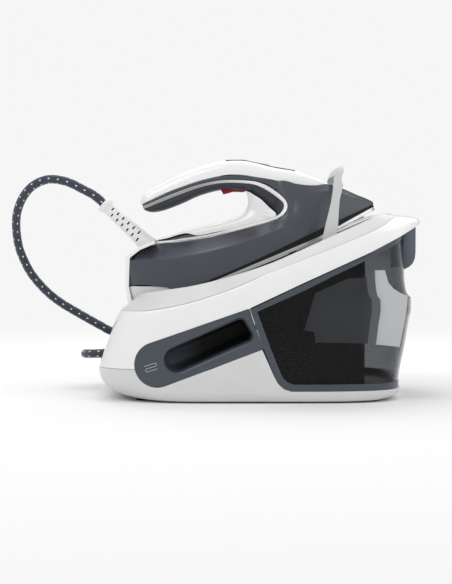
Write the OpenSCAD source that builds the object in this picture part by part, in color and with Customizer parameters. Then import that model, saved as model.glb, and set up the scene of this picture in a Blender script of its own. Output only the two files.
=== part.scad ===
/* [Base] */
// Length of the base from the control panel end to the beak
base_len = 385; // [365:1:465]
// Width of the base
base_w = 236; // [220:0.1:285]
// Wall of the moulded base shells
shell_wall = 3; // [2:0.5:4]
// Height of the rubber feet under the pan
foot_h = 2; // [1:0.5:4]
// Height of the seam between pan and cover at the control panel end
seam_z = 38; // [34:1:42]
/* [Iron] */
// Width of the soleplate
sole_w = 120; // [105:1:130]
// Length of the soleplate
sole_len = 310; // [290:1:318]
// Thickness of the soleplate
sole_t = 4; // [3:0.5:5]
// Width of the handle
handle_w = 34; // [28:1:38]
// Angle of the resting iron, nose up
iron_tilt = 22.5; // [20:0.5:25]
// Wall of the iron's moulded shells
iron_wall = 2.5; // [2:0.5:3]
/* [Water tank] */
// Wall of the clear tank
tank_wall = 2.5; // [2:0.5:3.5]
// Depth of the wings that reach along both sides of the boiler housing
wing_w = 32; // [24:1:36]
// Width of the grip on the tank
grip_w = 90; // [60:1:110]
// Radius of the tank valve
valve_r = 6; // [5:0.1:7.5]
/* [Boiler] */
// Radius of the boiler
boiler_r = 38; // [34:1:40]
// Length of the boiler
boiler_len = 84; // [70:1:88]
/* [Bail] */
// Distance from the bail's pivot to the inner side of its bar
bail_reach = 79; // [77:1:84]
// Distance between the bail's arms
bail_w = 122; // [112:1:130]
// Radius of the bail's pivot pins
pin_r = 3; // [2:0.1:4]
/* [Controls] */
// Radius of the power button
power_r = 9; // [6:0.5:10]
// Width of the control panel
panel_w = 68; // [60:1:70]
/* [Pockets] */
// Depth of the cord pocket
pocket_depth = 52; // [40:1:56]
// Diameter of the steam hose
hose_d = 10.5; // [9:0.1:13]
/* [Fits] */
// Gap between neighbouring mouldings
gap = 0.4; // [0.2:0.1:0.8]
// Radial clearance of pins and valves in their holes
pin_gap = 0.05; // [0.02:0.01:0.1]
/* [Hidden] */
$fn = 48;
half = base_w / 2;
left = -base_len / 2;
right = base_len / 2;
pan_z = foot_h;
ledge_z = foot_h + 12;
corner_n = 4.5;
outline_steps = 56;
white = "#F3F3F3";
light = "#DCDCDC";
slate = "#4B525D";
black = "#1C1D20";
steel = "#C8C8C8";

// Side outlines of the base, as x and z
// The band's lower edge and the rim climb towards the beak at about the same slope
rim_line = [[left + 43, 115], [-116, 126], [-65, 136], [-10, 150], [45, 171], [86, 191],
    [134, 215], [146, 217], [162, 213.5], [right, 206]];
band_line = [[172, 197], [125, 172], [48, 137], [-13, 108]];
frame_line = [[-13, 108], [2, 62], [19, 24], [26, ledge_z]];
end_line = [[left, seam_z], [left + 4, 52], [left + 12, 72], [left + 20, 90], [left + 30, 105]];

function superellipse(xl, xr, b, n = corner_n) = [for (i = [0:outline_steps - 1])
    let (t = 360 * i / outline_steps, c = cos(t), s = sin(t))
    [(c >= 0 ? xr : -xl) * sign(c) * pow(abs(c), 2 / n), b * sign(s) * pow(abs(s), 2 / n)]];

module side(points, y0, y1, grow = 0) {
    translate([0, y1, 0]) rotate([90, 0, 0]) linear_extrude(y1 - y0)
        offset(delta = grow) polygon(points);
}
module plan(xl, xr, b, z0, z1) {
    translate([0, 0, z0]) linear_extrude(z1 - z0) polygon(superellipse(xl, xr, b));
}

// The iron's own frame: x along the sole towards the nose, z up from the sole
iron_at = [-150, 93];
module iron_place() {
    translate([iron_at[0], 0, iron_at[1]]) rotate([0, -iron_tilt, 0]) children();
}
heel_x = 6;
nose_x = heel_x + sole_len;
function sole_half(x) = let (t = (x - heel_x) / sole_len, heel = max(0, 26 - (x - heel_x) - 6))
    sole_w / 2 * pow(max(0, 1 - pow(t, 2.2)), 0.85) * sqrt(1 - pow(heel / 30, 2));
sole_xs = [for (i = [0:36]) heel_x + sole_len * (1 - cos(90 * i / 36 * 2)) / 2];
sole_points = concat([for (x = sole_xs) [x, -sole_half(x)]],
    [for (i = [36:-1:0]) [sole_xs[i], sole_half(sole_xs[i])]]);
module sole_outline(grow = 0) {
    offset(delta = grow) polygon(sole_points);
}
module sole_layer(z0, z1, grow = 0) {
    translate([0, 0, z0]) linear_extrude(z1 - z0) sole_outline(grow);
}

// ---------- base shells ----------
cover_points = concat(end_line, rim_line, band_line, [[1, 62], [-60, seam_z]]);
pan_right = right - 24.5;
pan_points = [[left, seam_z], [-60, seam_z], [1, 62 - gap], [18, 24], [25, ledge_z],
    [pan_right, ledge_z], [pan_right - 1, ledge_z - 5], [pan_right - 8, pan_z + 2],
    [pan_right - 20, pan_z], [left + 42.5, pan_z], [left + 20.5, pan_z + 5],
    [left + 6.5, pan_z + 16], [left + 1.5, pan_z + 26]];
pocket_left = [-113, 44];
pocket_r = 25.5;
module pocket_outline(grow = 0) {
    offset(delta = grow) hull() {
        translate(pocket_left) circle(pocket_r);
        polygon([[-21, 105], [-4, 62], [-30, 60], [-40, 95]]);
    }
}
module pocket_mouth(grow = 0) {
    offset(delta = grow) hull() {
        translate([-96, 50]) circle(14);
        translate([-24, 89]) circle(6);
        translate([-17, 77]) circle(6);
    }
}
module pocket_cut(y0, y1, grow = 0) {
    translate([0, y1, 0]) rotate([90, 0, 0]) linear_extrude(y1 - y0) pocket_outline(grow);
}
module mouth_cut(y0, y1, grow = 0) {
    translate([0, y1, 0]) rotate([90, 0, 0]) linear_extrude(y1 - y0) pocket_mouth(grow);
}
// Compartment for the folded steam hose on the far side
bay_y = 35;
bay_low = 31;
hose_low = bay_low + hose_d / 2 + 1.75;
hank_top = hose_low + 2.5 * hose_d + 0.75;
bay_high = hank_top + 6;
bay_right = -8;
module hose_bay(grow = 0) {
    translate([left - 20, bay_y - grow, bay_low - grow])
        cube([bay_right - left + 20 + grow, half, bay_high - bay_low + 2 * grow]);
}
module cover_outer(grow = 0) {
    intersection() {
        side(cover_points, -half, half, grow);
        plan(left - grow, right + grow, half + grow, 0, 260);
    }
}
recess_gap = 6;
recess_floor = -7;
module iron_recess(grow = 0) {
    iron_place() sole_layer(recess_floor - grow, 220, recess_gap + grow);
    heel_gate(grow);
}
// The rear rim is low between the iron's flanks, so that the heel passes over it
module heel_gate(grow = 0) {
    side([[-140, 92 - grow], [-210, 124.6 - grow], [-210, 240], [-140, 240]],
        -sole_w / 2 - 4 - grow, sole_w / 2 + 4 + grow);
}
pivot = [80, 180];
arm_t = 5;
arm_y = bail_w / 2;
module bail_groove(grow = 0) {
    for (s = [-1, 1]) translate([0, s * (arm_y + arm_t / 2), 0])
        translate([pivot[0] - 12 - grow, -arm_t / 2 - 1 - grow, pivot[1] - 10 - grow])
            cube([84 + 2 * grow, arm_t + 2 + 2 * grow, 80]);
}
module panel_slab(out, depth, grow = 0) {
    side([[left - out, seam_z - 4 - grow], [left + 19.5 - out, 91 + grow],
        [left + 19.5 + depth, 91 + grow], [left + depth, seam_z - 4 - grow]],
        -panel_w / 2 - grow, panel_w / 2 + grow);
}
// The way from the electronics room to the boiler room
module boiler_way(z0, z1) {
    translate([-22, -house_y + 14, z0]) cube([48, 2 * house_y - 28, z1 - z0]);
}
module cover_bosses() {
    intersection() {
        for (i = [0:1]) translate([screw_spots[i][0], screw_spots[i][1], 9])
            cylinder(r = 5, h = 120);
        cover_outer();
    }
}
module base_cover() {
    color(white) difference() {
        union() {
            cover_shell();
            difference() {
                cover_bosses();
                iron_recess();
            }
        }
        for (i = [0:1]) translate([screw_spots[i][0], screw_spots[i][1], 0])
            cylinder(r = screw_r + pin_gap, h = 40);
    }
}
module cover_shell() {
    difference() {
        cover_outer();
        difference() {
            cover_outer(-shell_wall);
            iron_recess(shell_wall);
            bail_groove(shell_wall);
            hose_bay(shell_wall);
        }
        intersection() {
            union() {
                side([[left, seam_z - 3], [-58, seam_z - 3], [3, 60], [-12, 100],
                    [-40, 92], [left, seam_z + 8]], -half, half);
                side([[-2, 90], [40, 120], [170, 188], [165, 199], [125, 180], [48, 145],
                    [-20, 115]], -half, half);
            }
            plan(left + shell_wall, right - shell_wall, half - shell_wall, 0, 260);
        }
        iron_recess();
        bail_groove();
        boiler_way(66, 96);
        pocket_cut(-half - 1, -half + 9, gap);
        mouth_cut(-half - 1, -half + pocket_depth + 4, shell_wall + gap);
        hose_bay();
        panel_slab(5, 3, gap);
        side([[left, seam_z + 6], [left + 16, 86], [left + 30, 86], [left + 12, seam_z + 6]],
            -panel_w / 2 + 6, panel_w / 2 - 6);
        for (s = [-1, 1]) translate([pivot[0], s * (arm_y + arm_t / 2) - 8, pivot[1]])
            rotate([-90, 0, 0]) cylinder(r = pin_r + pin_gap, h = 16);
        catch_block(gap);
    }
}
module base_pan() {
    color(light) difference() {
        intersection() {
            side(pan_points, -half, half);
            plan(left, pan_right, half, 0, 260);
        }
        difference() {
            intersection() {
                union() {
                    side(pan_points, -half, half, -shell_wall);
                    side([[left, seam_z + 1], [-62, seam_z + 1], [-2, 64], [12, 30],
                        [left, 30]], -half, half);
                }
                plan(left + shell_wall, pan_right - shell_wall, half - shell_wall, 0, 260);
            }
            hose_bay(shell_wall);
        }
        translate([26, -half + wing_w + 14, ledge_z - 4]) cube([74, base_w - 2 * wing_w - 28, 8]);
        boiler_way(ledge_z + 4, 70);
        pocket_cut(-half - 1, -half + 9, gap);
        mouth_cut(-half - 1, -half + pocket_depth + 4, shell_wall + gap);
        hose_bay();
        gland_bore(gland_r + gap / 4);
        translate([-5, run_far, hose_low]) rotate([0, 90, 0])
            cylinder(r = gland_r + 3 + gap / 4, h = 4.4);
        panel_slab(5, 3, gap);
        translate([mains_x - 8, half - 12, mains_z]) rotate([-90, 0, 0])
            translate([8, 0, 0]) cylinder(r = mains_hole_r + 2 + gap, h = 20);
        for (p = screw_spots) translate([p[0], p[1], 0]) cylinder(r = screw_r + 0.2, h = 20);
    }
}
// The dark pocket panel is flush in the near side, and its trough is cast in one with it
module cord_pocket() {
    color(slate) difference() {
        intersection() {
            union() {
                pocket_cut(-half, -half + 8);
                mouth_cut(-half, -half + pocket_depth + shell_wall, shell_wall);
            }
            plan(left, right, half, 0, 260);
        }
        mouth_cut(-half - 1, -half + pocket_depth);
        intersection() {
            pocket_cut(-half, -half + 9, -shell_wall);
            translate([-200, -half + shell_wall + 3, 0]) cube([220, 9, 120]);
        }
    }
}
module hose_pocket() {
    color(slate) difference() {
        translate([-178, bay_y + gap, bay_low + gap])
            cube([bay_right + 178 - gap, half - bay_y - 9, bay_high - bay_low - 2 * gap]);
        translate([-190, bay_y + gap + 1.5, bay_low + gap + 1])
            cube([bay_right + 190 - gap - 1.5, half, bay_high - bay_low - 2 * gap - 2]);
        gland_bore(gland_r + gap / 4);
    }
}
module feet() {
    color(black) for (p = foot_spots) translate([p[0], p[1], 0])
        cylinder(r = 9, h = pan_z);
}
foot_spots = [[-135, -70], [-135, 70], [125, -78], [125, 78]];
screw_spots = [[-120, -22], [-120, 22], [106, -60], [106, 60]];
screw_r = 2;
module pan_screws() {
    color(steel) for (p = screw_spots) translate([p[0], p[1], pan_z - 0.5]) {
        cylinder(r = screw_r, h = 14);
        cylinder(r = 3.6, h = 0.5);
    }
}
module iron_rest() {
    color(light) iron_place() difference() {
        sole_layer(recess_floor, -3, recess_gap - gap);
        sole_layer(recess_floor - 1, -2, -16);
        translate([-20, -200, -20]) cube([40, 400, 40]);
    }
}
pad_spots = [[50, 48], [50, -48], [205, 36], [205, -36]];
module rest_pads() {
    color(black) iron_place() for (p = pad_spots) translate([p[0], p[1], -3])
        cylinder(r = 4, h = 3);
}
module control_panel() {
    color(steel) difference() {
        intersection() {
            panel_slab(0, 2.6);
            plan(left, right, half, 0, 260);
        }
        panel_place(power_z) cylinder(r = power_r + gap, h = 20, center = true);
        panel_place(key_z) for (s = [-1, 1]) translate([0, s * key_y, 0])
            cylinder(r = key_r + gap, h = 20, center = true);
        panel_place(lens_z) translate([-2.5, -9, -10]) cube([5, 18, 20]);
    }
}
panel_lean = atan2(19.5, 91 - seam_z + 4);
power_z = 52;
key_z = 68;
lens_z = 81;
key_r = 5;
key_y = 14;
// Frame on the panel's face: z points out of the panel
module panel_place(z) {
    translate([left + (z - seam_z + 4) * tan(panel_lean), 0, z])
        rotate([0, -90 + panel_lean, 0]) children();
}
module panel_key(r) {
    translate([0, 0, -9]) cylinder(r = r, h = 10);
    translate([0, 0, -9]) cylinder(r = r + 1.5, h = 3);
}
module power_button() {
    color(light) panel_place(power_z) panel_key(power_r);
}
module eco_button() {
    color(light) panel_place(key_z) translate([0, -key_y, 0]) panel_key(key_r);
}
module rinse_button() {
    color(light) panel_place(key_z) translate([0, key_y, 0]) panel_key(key_r);
}
module indicator_lens() {
    color("#B03030") panel_place(lens_z) translate([-2.5 + gap, -9 + gap, -2.6])
        cube([5 - 2 * gap, 18 - 2 * gap, 2.6]);
}
module bail_pins() {
    color(steel) for (s = [-1, 1]) translate([pivot[0], s * (arm_y + arm_t / 2) - 7, pivot[1]])
        rotate([-90, 0, 0]) cylinder(r = pin_r, h = 14);
}
module catch_block(grow = 0) {
    side([[153, 216.5], [163, 214], [163, 209], [153, 211]], -20 - grow, 20 + grow, grow);
}
module bail_catch() {
    color(slate) catch_block();
}
bail_lean = 9.8;
bar_t = 14;
module lock_bail() {
    color(light) difference() {
        translate([pivot[0], 0, pivot[1]]) rotate([0, bail_lean, 0]) {
            for (s = [-1, 1]) translate([0, s * (arm_y + arm_t / 2), 0]) {
                translate([0, -arm_t / 2, 0]) rotate([-90, 0, 0]) cylinder(r = 8, h = arm_t);
                translate([-8, -arm_t / 2, 0]) cube([16, arm_t, 14]);
                translate([-5, -arm_t / 2, 12]) cube([10, arm_t, bail_reach - 22]);
            }
            rotate([90, 0, 90]) translate([0, 0, -5]) linear_extrude(10) difference() {
                offset(r = 14) square([2 * arm_y + 2 * arm_t - 28, 2 * (bail_reach + bar_t - 14)],
                    center = true);
                offset(r = 14) square([2 * arm_y - 28, 2 * (bail_reach - 14)], center = true);
                translate([-200, -200]) square([400, 200 + bail_reach - 12]);
            }
        }
        translate([pivot[0], -100, pivot[1]]) rotate([-90, 0, 0])
            cylinder(r = pin_r + pin_gap, h = 200);
    }
}

// ---------- what the base holds ----------
house_y = half - wing_w - 4;
house_x = 116;
house_points = [[26, ledge_z], [house_x, ledge_z], [house_x, 163], [48, 132], [-8, 106],
    [3, 62], [20, 24]];
valve_z = 26;
module boiler_housing() {
    color(black) difference() {
        side(house_points, -house_y, house_y);
        side(house_points, -house_y + shell_wall, house_y - shell_wall, -shell_wall);
        translate([-20, -house_y + shell_wall, ledge_z + 4])
            cube([48, 2 * (house_y - shell_wall), 82]);
        translate([28, -house_y + 12, ledge_z - 2]) cube([70, 2 * house_y - 24, 8]);
        translate([house_x - 12, 0, valve_z]) rotate([0, 90, 0])
            cylinder(r = valve_r + pin_gap, h = 20);
        for (p = screw_spots) translate([p[0], p[1], 0]) cylinder(r = screw_r + pin_gap, h = 20);
    }
}
boiler_at = [22, 0, 72];
drain_drop = 22;
module boiler() {
    color(steel) difference() {
        union() {
            translate(boiler_at) rotate([0, 90, 0]) cylinder(r = boiler_r, h = boiler_len);
            translate([boiler_at[0] - 8, 0, boiler_at[2] - drain_drop]) rotate([0, 90, 0])
                cylinder(r = 11, h = 10);
            translate([valve_top[0], 0, boiler_at[2] + boiler_r - 3]) cylinder(r = 7, h = 6);
        }
        translate(boiler_at + [2.5, 0, 0]) rotate([0, 90, 0])
            cylinder(r = boiler_r - 2.5, h = boiler_len - 5);
        translate([boiler_at[0] - 10, 0, boiler_at[2] - drain_drop]) rotate([0, 90, 0])
            cylinder(r = 8, h = 20);
        translate([valve_top[0], 0, boiler_at[2] + 20]) cylinder(r = 3, h = 40);
    }
}
module boiler_jacket() {
    color("#D8D2C0") difference() {
        translate(boiler_at + [4, 0, 0]) rotate([0, 90, 0])
            cylinder(r = boiler_r + 4, h = boiler_len - 8);
        translate(boiler_at) rotate([0, 90, 0]) cylinder(r = boiler_r + 0.2, h = boiler_len);
        translate([valve_top[0] - 12, -12, boiler_at[2]]) cube([24, 24, 60]);
        translate([0, -14, boiler_at[2] - boiler_r - 8]) cube([120, 28, 12]);
    }
}
module boiler_heater() {
    color("#8A8D90") translate([boiler_at[0] + 2.7, 0, boiler_at[2]]) rotate([0, 90, 0]) {
        translate([0, 0, 5]) rotate_extrude() translate([boiler_r - 14, 0]) circle(r = 3.5);
    }
}
module boiler_thermostat() {
    color(black) translate([boiler_at[0] - 9.2, -16, boiler_at[2] + 8]) rotate([0, 90, 0]) {
        cylinder(r = 9, h = 9);
        translate([0, 0, -4]) cylinder(r = 6, h = 5);
    }
}
module rinse_plug() {
    color(slate) translate([boiler_at[0] - 14, 0, boiler_at[2] - drain_drop]) rotate([0, 90, 0]) {
        cylinder(r = 8 - pin_gap, h = 16);
        cylinder(r = 12, h = 5.5);
    }
}
valve_top = [boiler_at[0] + 46, boiler_at[2] + boiler_r + 3];
module steam_valve() {
    color("#A58A3A") translate([valve_top[0], 0, valve_top[1]]) difference() {
        union() {
            cylinder(r = 7, h = 4);
            translate([-9, -8, 3]) cube([18, 16, 7]);
            translate([0, 7, 6]) rotate([-90, 0, 0]) cylinder(r = 2.6, h = 9);
        }
        translate([0, 0, -1]) cylinder(r = 3, h = 6);
    }
}
module pump() {
    color("#D6A23A") translate([pump_nose - 70, 0, valve_z]) {
        translate([0, -16, -17]) cube([44, 32, 34]);
        translate([44, 0, 0]) rotate([0, 90, 0]) cylinder(r = 9, h = 25.9);
    }
}
tube_r = 3;
pump_nose = -22;
module feed_tube() {
    color(light) {
        translate([pump_nose, 0, valve_z]) rotate([0, 90, 0])
            cylinder(r = tube_r, h = house_x - 12.4 - pump_nose);
    }
}
module boiler_tube() {
    color(light) {
        translate([pump_nose - 48, 6, valve_z + 17.1]) cylinder(r = tube_r, h = 36);
        translate([pump_nose - 48, 6, valve_z + 53.1]) sphere(r = tube_r);
        translate([pump_nose - 48, 6, valve_z + 53.1]) rotate([0, 90, 0])
            cylinder(r = tube_r, h = boiler_at[0] - pump_nose + 47.9);
    }
}
module steam_tube() {
    color(light) {
        translate([valve_top[0], 16.4, valve_top[1] + 6]) rotate([-90, 0, 0])
            cylinder(r = tube_r, h = 36);
        translate([valve_top[0], 52.4, valve_top[1] + 6]) sphere(r = tube_r);
        translate([valve_top[0], 52.4, valve_top[1] + 6]) rotate([0, -90, 0])
            cylinder(r = tube_r, h = 34);
    }
}
module control_board() {
    color("#2E6B3E") {
        translate([-150, -30, 50]) cube([1.6, 60, 30]);
        translate([-148.4, -20, 56]) cube([14, 18, 14]);
        translate([-148.4, 8, 60]) cube([10, 12, 16]);
    }
}
mains_x = -40;
mains_z = 20;
mains_hole_r = 3.8;
module mains_gland() {
    color(black) translate([mains_x, half - 16, mains_z]) rotate([-90, 0, 0]) difference() {
        union() {
            cylinder(r = mains_hole_r + 2, h = 15.4);
            cylinder(r = mains_hole_r + 4, h = 3);
        }
        translate([0, 0, -1]) cylinder(r = mains_hole_r, h = 30);
    }
}
gland_r = hose_d / 2 + 0.25;
module gland_bore(r) {
    translate([-30, run_far, hose_low]) rotate([0, 90, 0]) cylinder(r = r, h = 40);
}
module hose_gland() {
    color(black) difference() {
        union() {
            translate([-22, run_far, hose_low]) rotate([0, 90, 0])
                cylinder(r = gland_r, h = 20);
            translate([-4.8, run_far, hose_low]) rotate([0, 90, 0])
                cylinder(r = gland_r + 3, h = 4);
        }
        translate([-12, run_far, hose_low]) rotate([0, 90, 0]) cylinder(r = 3, h = 20);
    }
}

// ---------- water tank ----------
tank_right = right - 9.5;
tank_points = [[-11, 106.5], [4, 62], [21, 24], [28, ledge_z], [pan_right - 1, ledge_z],
    [pan_right, 24], [tank_right - 13, 40], [tank_right - 8, 64], [tank_right - 2, 94],
    [tank_right, 106], [tank_right, 116], [tank_right - 5, 122], [tank_right - 7, 130],
    [tank_right - 9, 150], [tank_right - 12, 195], [125, 171], [48, 136]];
filler = [(house_x + tank_right) / 2, 15];
frame_top = 22;
module tank_outer(grow = 0) {
    difference() {
        intersection() {
            side(tank_points, -half, half, grow);
            plan(left - grow, tank_right + 1 + grow, half + grow, 0, 260);
        }
        translate([-100, -house_y - 1 + grow, 0])
            cube([100 + house_x + 1 - grow, 2 * (house_y + 1 - grow), 260]);
    }
}
module valve_bore() {
    translate([house_x - 2, 0, valve_z]) rotate([0, 90, 0]) cylinder(r = 3, h = 10);
}
module water_tank() {
    color([0.25, 0.26, 0.28, 0.6]) difference() {
        tank_outer();
        tank_outer(-tank_wall);
        translate([-100, -200, -1]) cube([400, 400, frame_top + 1]);
        translate([filler[0], 0, 120]) cylinder(r = filler[1], h = 100);
        valve_bore();
    }
}
module tank_frame() {
    color(slate) difference() {
        intersection() {
            tank_outer();
            translate([-100, -200, -1]) cube([400, 400, frame_top + 1 - 0.1]);
        }
        difference() {
            tank_outer(-tank_wall);
            translate([-100, -200, -1]) cube([400, 400, ledge_z + 4]);
        }
        valve_bore();
    }
}
grip_x = right - 4.5;
module tank_grip() {
    color(slate) difference() {
        intersection() {
            side([[grip_x, 199], [grip_x, 169], [grip_x - 2, 158], [grip_x - 10, 151],
                [grip_x - 13, 151], [grip_x - 15.6, 196]], -grip_w / 2, grip_w / 2);
            plan(left, grip_x, half, 0, 260);
        }
        side([[grip_x - shell_wall, 193], [grip_x - shell_wall, 169], [grip_x - 5, 158],
            [grip_x - 10, 140], [grip_x - 28, 140], [grip_x - 28, 193]],
            -grip_w / 2 + shell_wall, grip_w / 2 - shell_wall);
    }
}
module tank_valve() {
    color(white) translate([house_x - 8, 0, valve_z]) rotate([0, 90, 0]) difference() {
        union() {
            cylinder(r = valve_r, h = 8.5);
            translate([0, 0, 8.6]) cylinder(r = valve_r + 3, h = 0.4);
        }
        translate([0, 0, -1]) cylinder(r = 3, h = 20);
        translate([0, 0, 3]) difference() {
            cylinder(r = valve_r + 1, h = 2);
            cylinder(r = valve_r - 1.6, h = 2);
        }
    }
}
module tank_seal() {
    color(black) translate([house_x - 4, 0, valve_z]) rotate([0, 90, 0]) rotate_extrude()
        translate([valve_r - 0.8, 0]) circle(r = 0.79, $fn = 20);
}

// ---------- iron ----------
body_z = 8;
cap_top = [[59, 124], [64, 129], [74, 133], [91, 134.5], [113, 136], [134, 136], [154, 134.5],
    [173, 131], [193, 123], [206, 114], [221, 103], [245, 88], [262, 72]];
cap_low = [[61, 120], [87, 122], [120, 121], [144, 119], [171, 113], [192, 103], [215, 88],
    [243, 70], [260, 62]];
trim_top = [[60, 118], [94, 118], [126, 117], [150, 113], [169, 107], [193, 95], [205, 86],
    [214, 74], [220, 60], [220, 50], [215, 44], [206, 42]];
trim_low = [[62, 113], [92, 112.5], [124, 111.5], [148, 109], [167, 103], [188, 92], [198, 84],
    [208, 67], [214, 54], [210, 48], [204, 46]];
tail_line = [[60, 70], [82, 63], [122, 53], [157, 49], [203, 42]];
crease = [[25, 62], [56, 51], [115, 37], [177, 31], [211, 33], [235, 40], [262, 50]];
function back(points) = [for (i = [len(points) - 1:-1:0]) points[i]];
heel_line = [[62, body_z + 1], [53, 18], [42, 24], [16, 35], [12, 36]];
body_points = concat([[62, body_z], [306, body_z]], [[315, 13], [303, 28], [290, 43],
    [276, 57], [262, 66]], back(cap_low), trim_top, back(tail_line), [[40, 70], [26, 66]],
    back(heel_line));
low_points = concat([[62, body_z], [306, body_z], [315, 13], [303, 28], [290, 43], [276, 50]],
    back(crease), [[12, 36]], back(heel_line));
module iron_side(points, w, grow = 0) {
    side(points, -w / 2, w / 2, grow);
}
module switch_room(grow = 0) {
    translate([160 - grow, -6 - grow, 104]) cube([16 + 2 * grow, 12 + 2 * grow, 15 + grow]);
}
module cuff_room(grow = 0) {
    cuff_place() translate([0, 0, -8]) cylinder(r = 9.5 + grow, h = 30);
}
module iron_body() {
    color(slate) iron_place() difference() {
        union() {
            intersection() {
                iron_side(low_points, sole_w + 10);
                sole_layer(0, 120, 2);
            }
            intersection() {
                iron_side(body_points, sole_w);
                sole_layer(0, 64, -10);
            }
            iron_side(body_points, handle_w);
        }
        intersection() {
            iron_side(low_points, sole_w + 10, -iron_wall);
            sole_layer(0, 120, 2 - iron_wall);
        }
        intersection() {
            iron_side(body_points, sole_w, -iron_wall);
            sole_layer(0, 64, -10 - iron_wall);
        }
        sole_layer(0, body_z + 5, 2 - iron_wall);
        sole_layer(0, body_z + 9, -7);
        switch_room(gap);
        cuff_room(gap);
        trigger_room();
    }
}
module body_trim() {
    color(white) iron_place() for (s = [-1, 1]) intersection() {
        iron_side([[60, 72], [82, 65], [122, 55], [157, 51], [203, 48], [203, 46.5], [157, 49.3],
            [122, 53.3], [82, 63.3], [60, 70.3]], 2 * handle_w);
        translate([0, s * (handle_w / 2 + 3), 0]) cube([600, 5, 400], center = true);
    }
}
module handle_cap() {
    color(white) iron_place() difference() {
        iron_side(concat(cap_top, back(cap_low)), handle_w - 2);
        switch_room(gap);
        side(plate_points, -9 - gap, 9 + gap, gap);
        button_place() translate([0, 0, -10]) cylinder(r = boost_r + 1.9, h = 10);
    }
}
module handle_grip() {
    color("#2F3238") iron_place() difference() {
        iron_side(concat(back(trim_low), [[61, 112], [69, 107], [79, 104], [103, 103],
            [128, 104], [155, 100], [168, 94], [178, 88], [184, 84], [193, 72], [199, 58]]),
            handle_w - 1);
        trigger_room();
        switch_room(gap);
        pin_place() cylinder(r = trigger_pin_r + pin_gap, h = handle_w + 2, center = true);
    }
}
module handle_trim() {
    color(steel) iron_place() difference() {
        iron_side(concat(trim_top, back(trim_low)), handle_w + 0.6);
        trigger_room();
        switch_room(gap);
    }
}
module inner_saddle() {
    color(white) iron_place() difference() {
        iron_side([[60, 74.5], [73, 72], [108, 71], [136, 65], [155, 63], [166, 64], [174, 69],
            [179, 74], [181, 82], [184, 83.5], [193, 71.5], [199, 57.5], [203.5, 45.5],
            [203, 42.4], [157, 49.3], [122, 53.3], [82, 63.3], [60, 70.3]], handle_w - 3);
        cuff_room(gap);
    }
}
module heel_cover() {
    color(white) iron_place() difference() {
        intersection() {
            side([[3, 8], [3, 21], [8, 37], [21, 69], [38, 74], [59, 74], [59, 70.6], [40, 70.4],
                [25.5, 66.4], [11.6, 36], [8.6, 21], [8.6, 8]], -sole_w / 2, sole_w / 2);
            translate([-4, 0, 0]) sole_layer(0, 90, 2);
        }
        cuff_room(gap);
        for (s = [-1, 1]) translate([0, 22 * s, 30]) rotate([0, 90, 0])
            cylinder(r = 1.8, h = 30, center = true);
    }
}
module heel_skirt() {
    color(light) iron_place() difference() {
        intersection() {
            side(concat([[9, 8], [9, 21], [11.8, 35.4]], [[16, 34.6], [42, 23.6], [53, 17.6],
                [61.6, 8.6]]), -sole_w / 2, sole_w / 2);
            sole_layer(0, 90, 2);
        }
        difference() {
            intersection() {
                translate([12, -80, 0]) cube([50, 160, 60]);
                sole_layer(0, 90, -1);
            }
            translate([0, -80, 30]) cube([80, 160, 60]);
        }
        for (s = [-1, 1]) translate([0, 22 * s, 30]) rotate([0, 90, 0])
            cylinder(r = 1.8, h = 60, center = true);
    }
}
module heel_screws() {
    color(steel) iron_place() for (s = [-1, 1]) translate([4, 22 * s, 30]) rotate([0, 90, 0]) {
        translate([0, 0, -0.2]) cylinder(r = 1.7, h = 12);
    }
}
module soleplate() {
    color(steel) iron_place() difference() {
        sole_layer(0, sole_t);
        for (i = [0:7]) for (s = [-1, 1])
            translate([90 + 26 * i, s * max(6, sole_half(90 + 26 * i) - 13), -1])
                cylinder(r = 1.5, h = sole_t + 2, $fn = 16);
    }
}
heater_r = 3.8;
module heater_path(r) {
    for (s = [-1, 1]) translate([40, 26 * s, 12]) rotate([0, 90, 0]) cylinder(r = r, h = 120);
    translate([160, 0, 12]) intersection() {
        rotate_extrude() translate([26, 0]) circle(r = r);
        translate([0, -60, -20]) cube([60, 120, 40]);
    }
}
module heat_casting() {
    color("#9EA0A2") iron_place() difference() {
        sole_layer(sole_t, 13, -8);
        heater_path(heater_r + pin_gap);
    }
}
module sole_heater() {
    color("#6E7072") iron_place() heater_path(heater_r);
}
module heat_shield() {
    color(black) iron_place() difference() {
        sole_layer(sole_t, body_z - 0.2, -1);
        sole_layer(0, 30, -7);
    }
}
module iron_thermostat() {
    color(light) iron_place() translate([100, 0, 13]) {
        cylinder(r = 10, h = 8);
        translate([-8, -14, 8]) cube([16, 28, 3]);
    }
}
plate_points = [[173, 131], [193, 123], [206, 114], [221, 103], [245, 88], [243.8, 86],
    [219.8, 101], [204.8, 112], [192, 121], [172.3, 129]];
module button_plate() {
    color(slate) iron_place() difference() {
        side(plate_points, -9, 9);
        button_place() translate([0, 0, -10]) cylinder(r = boost_r + gap, h = 20);
    }
}
boost_r = 6.5;
boost_at = [213.5, 108.5];
boost_lean = 36.3;
module button_place() {
    translate([boost_at[0], 0, boost_at[1]]) rotate([0, boost_lean, 0]) children();
}
module boost_button() {
    color(light) iron_place() button_place() {
        translate([0, 0, -6]) cylinder(r = boost_r, h = 7.4);
        translate([0, 0, -6]) cylinder(r = boost_r + 1.4, h = 2.4);
    }
}
trigger_pin_r = 1.5;
trigger_at = [187, 90];
module pin_place() {
    translate([trigger_at[0], 0, trigger_at[1]]) rotate([90, 0, 0]) children();
}
module trigger_room() {
    side([[152, 92], [152, 109], [170, 104.6], [190, 96], [192, 88], [188, 84], [178, 82]],
        -8, 8);
}
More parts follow.
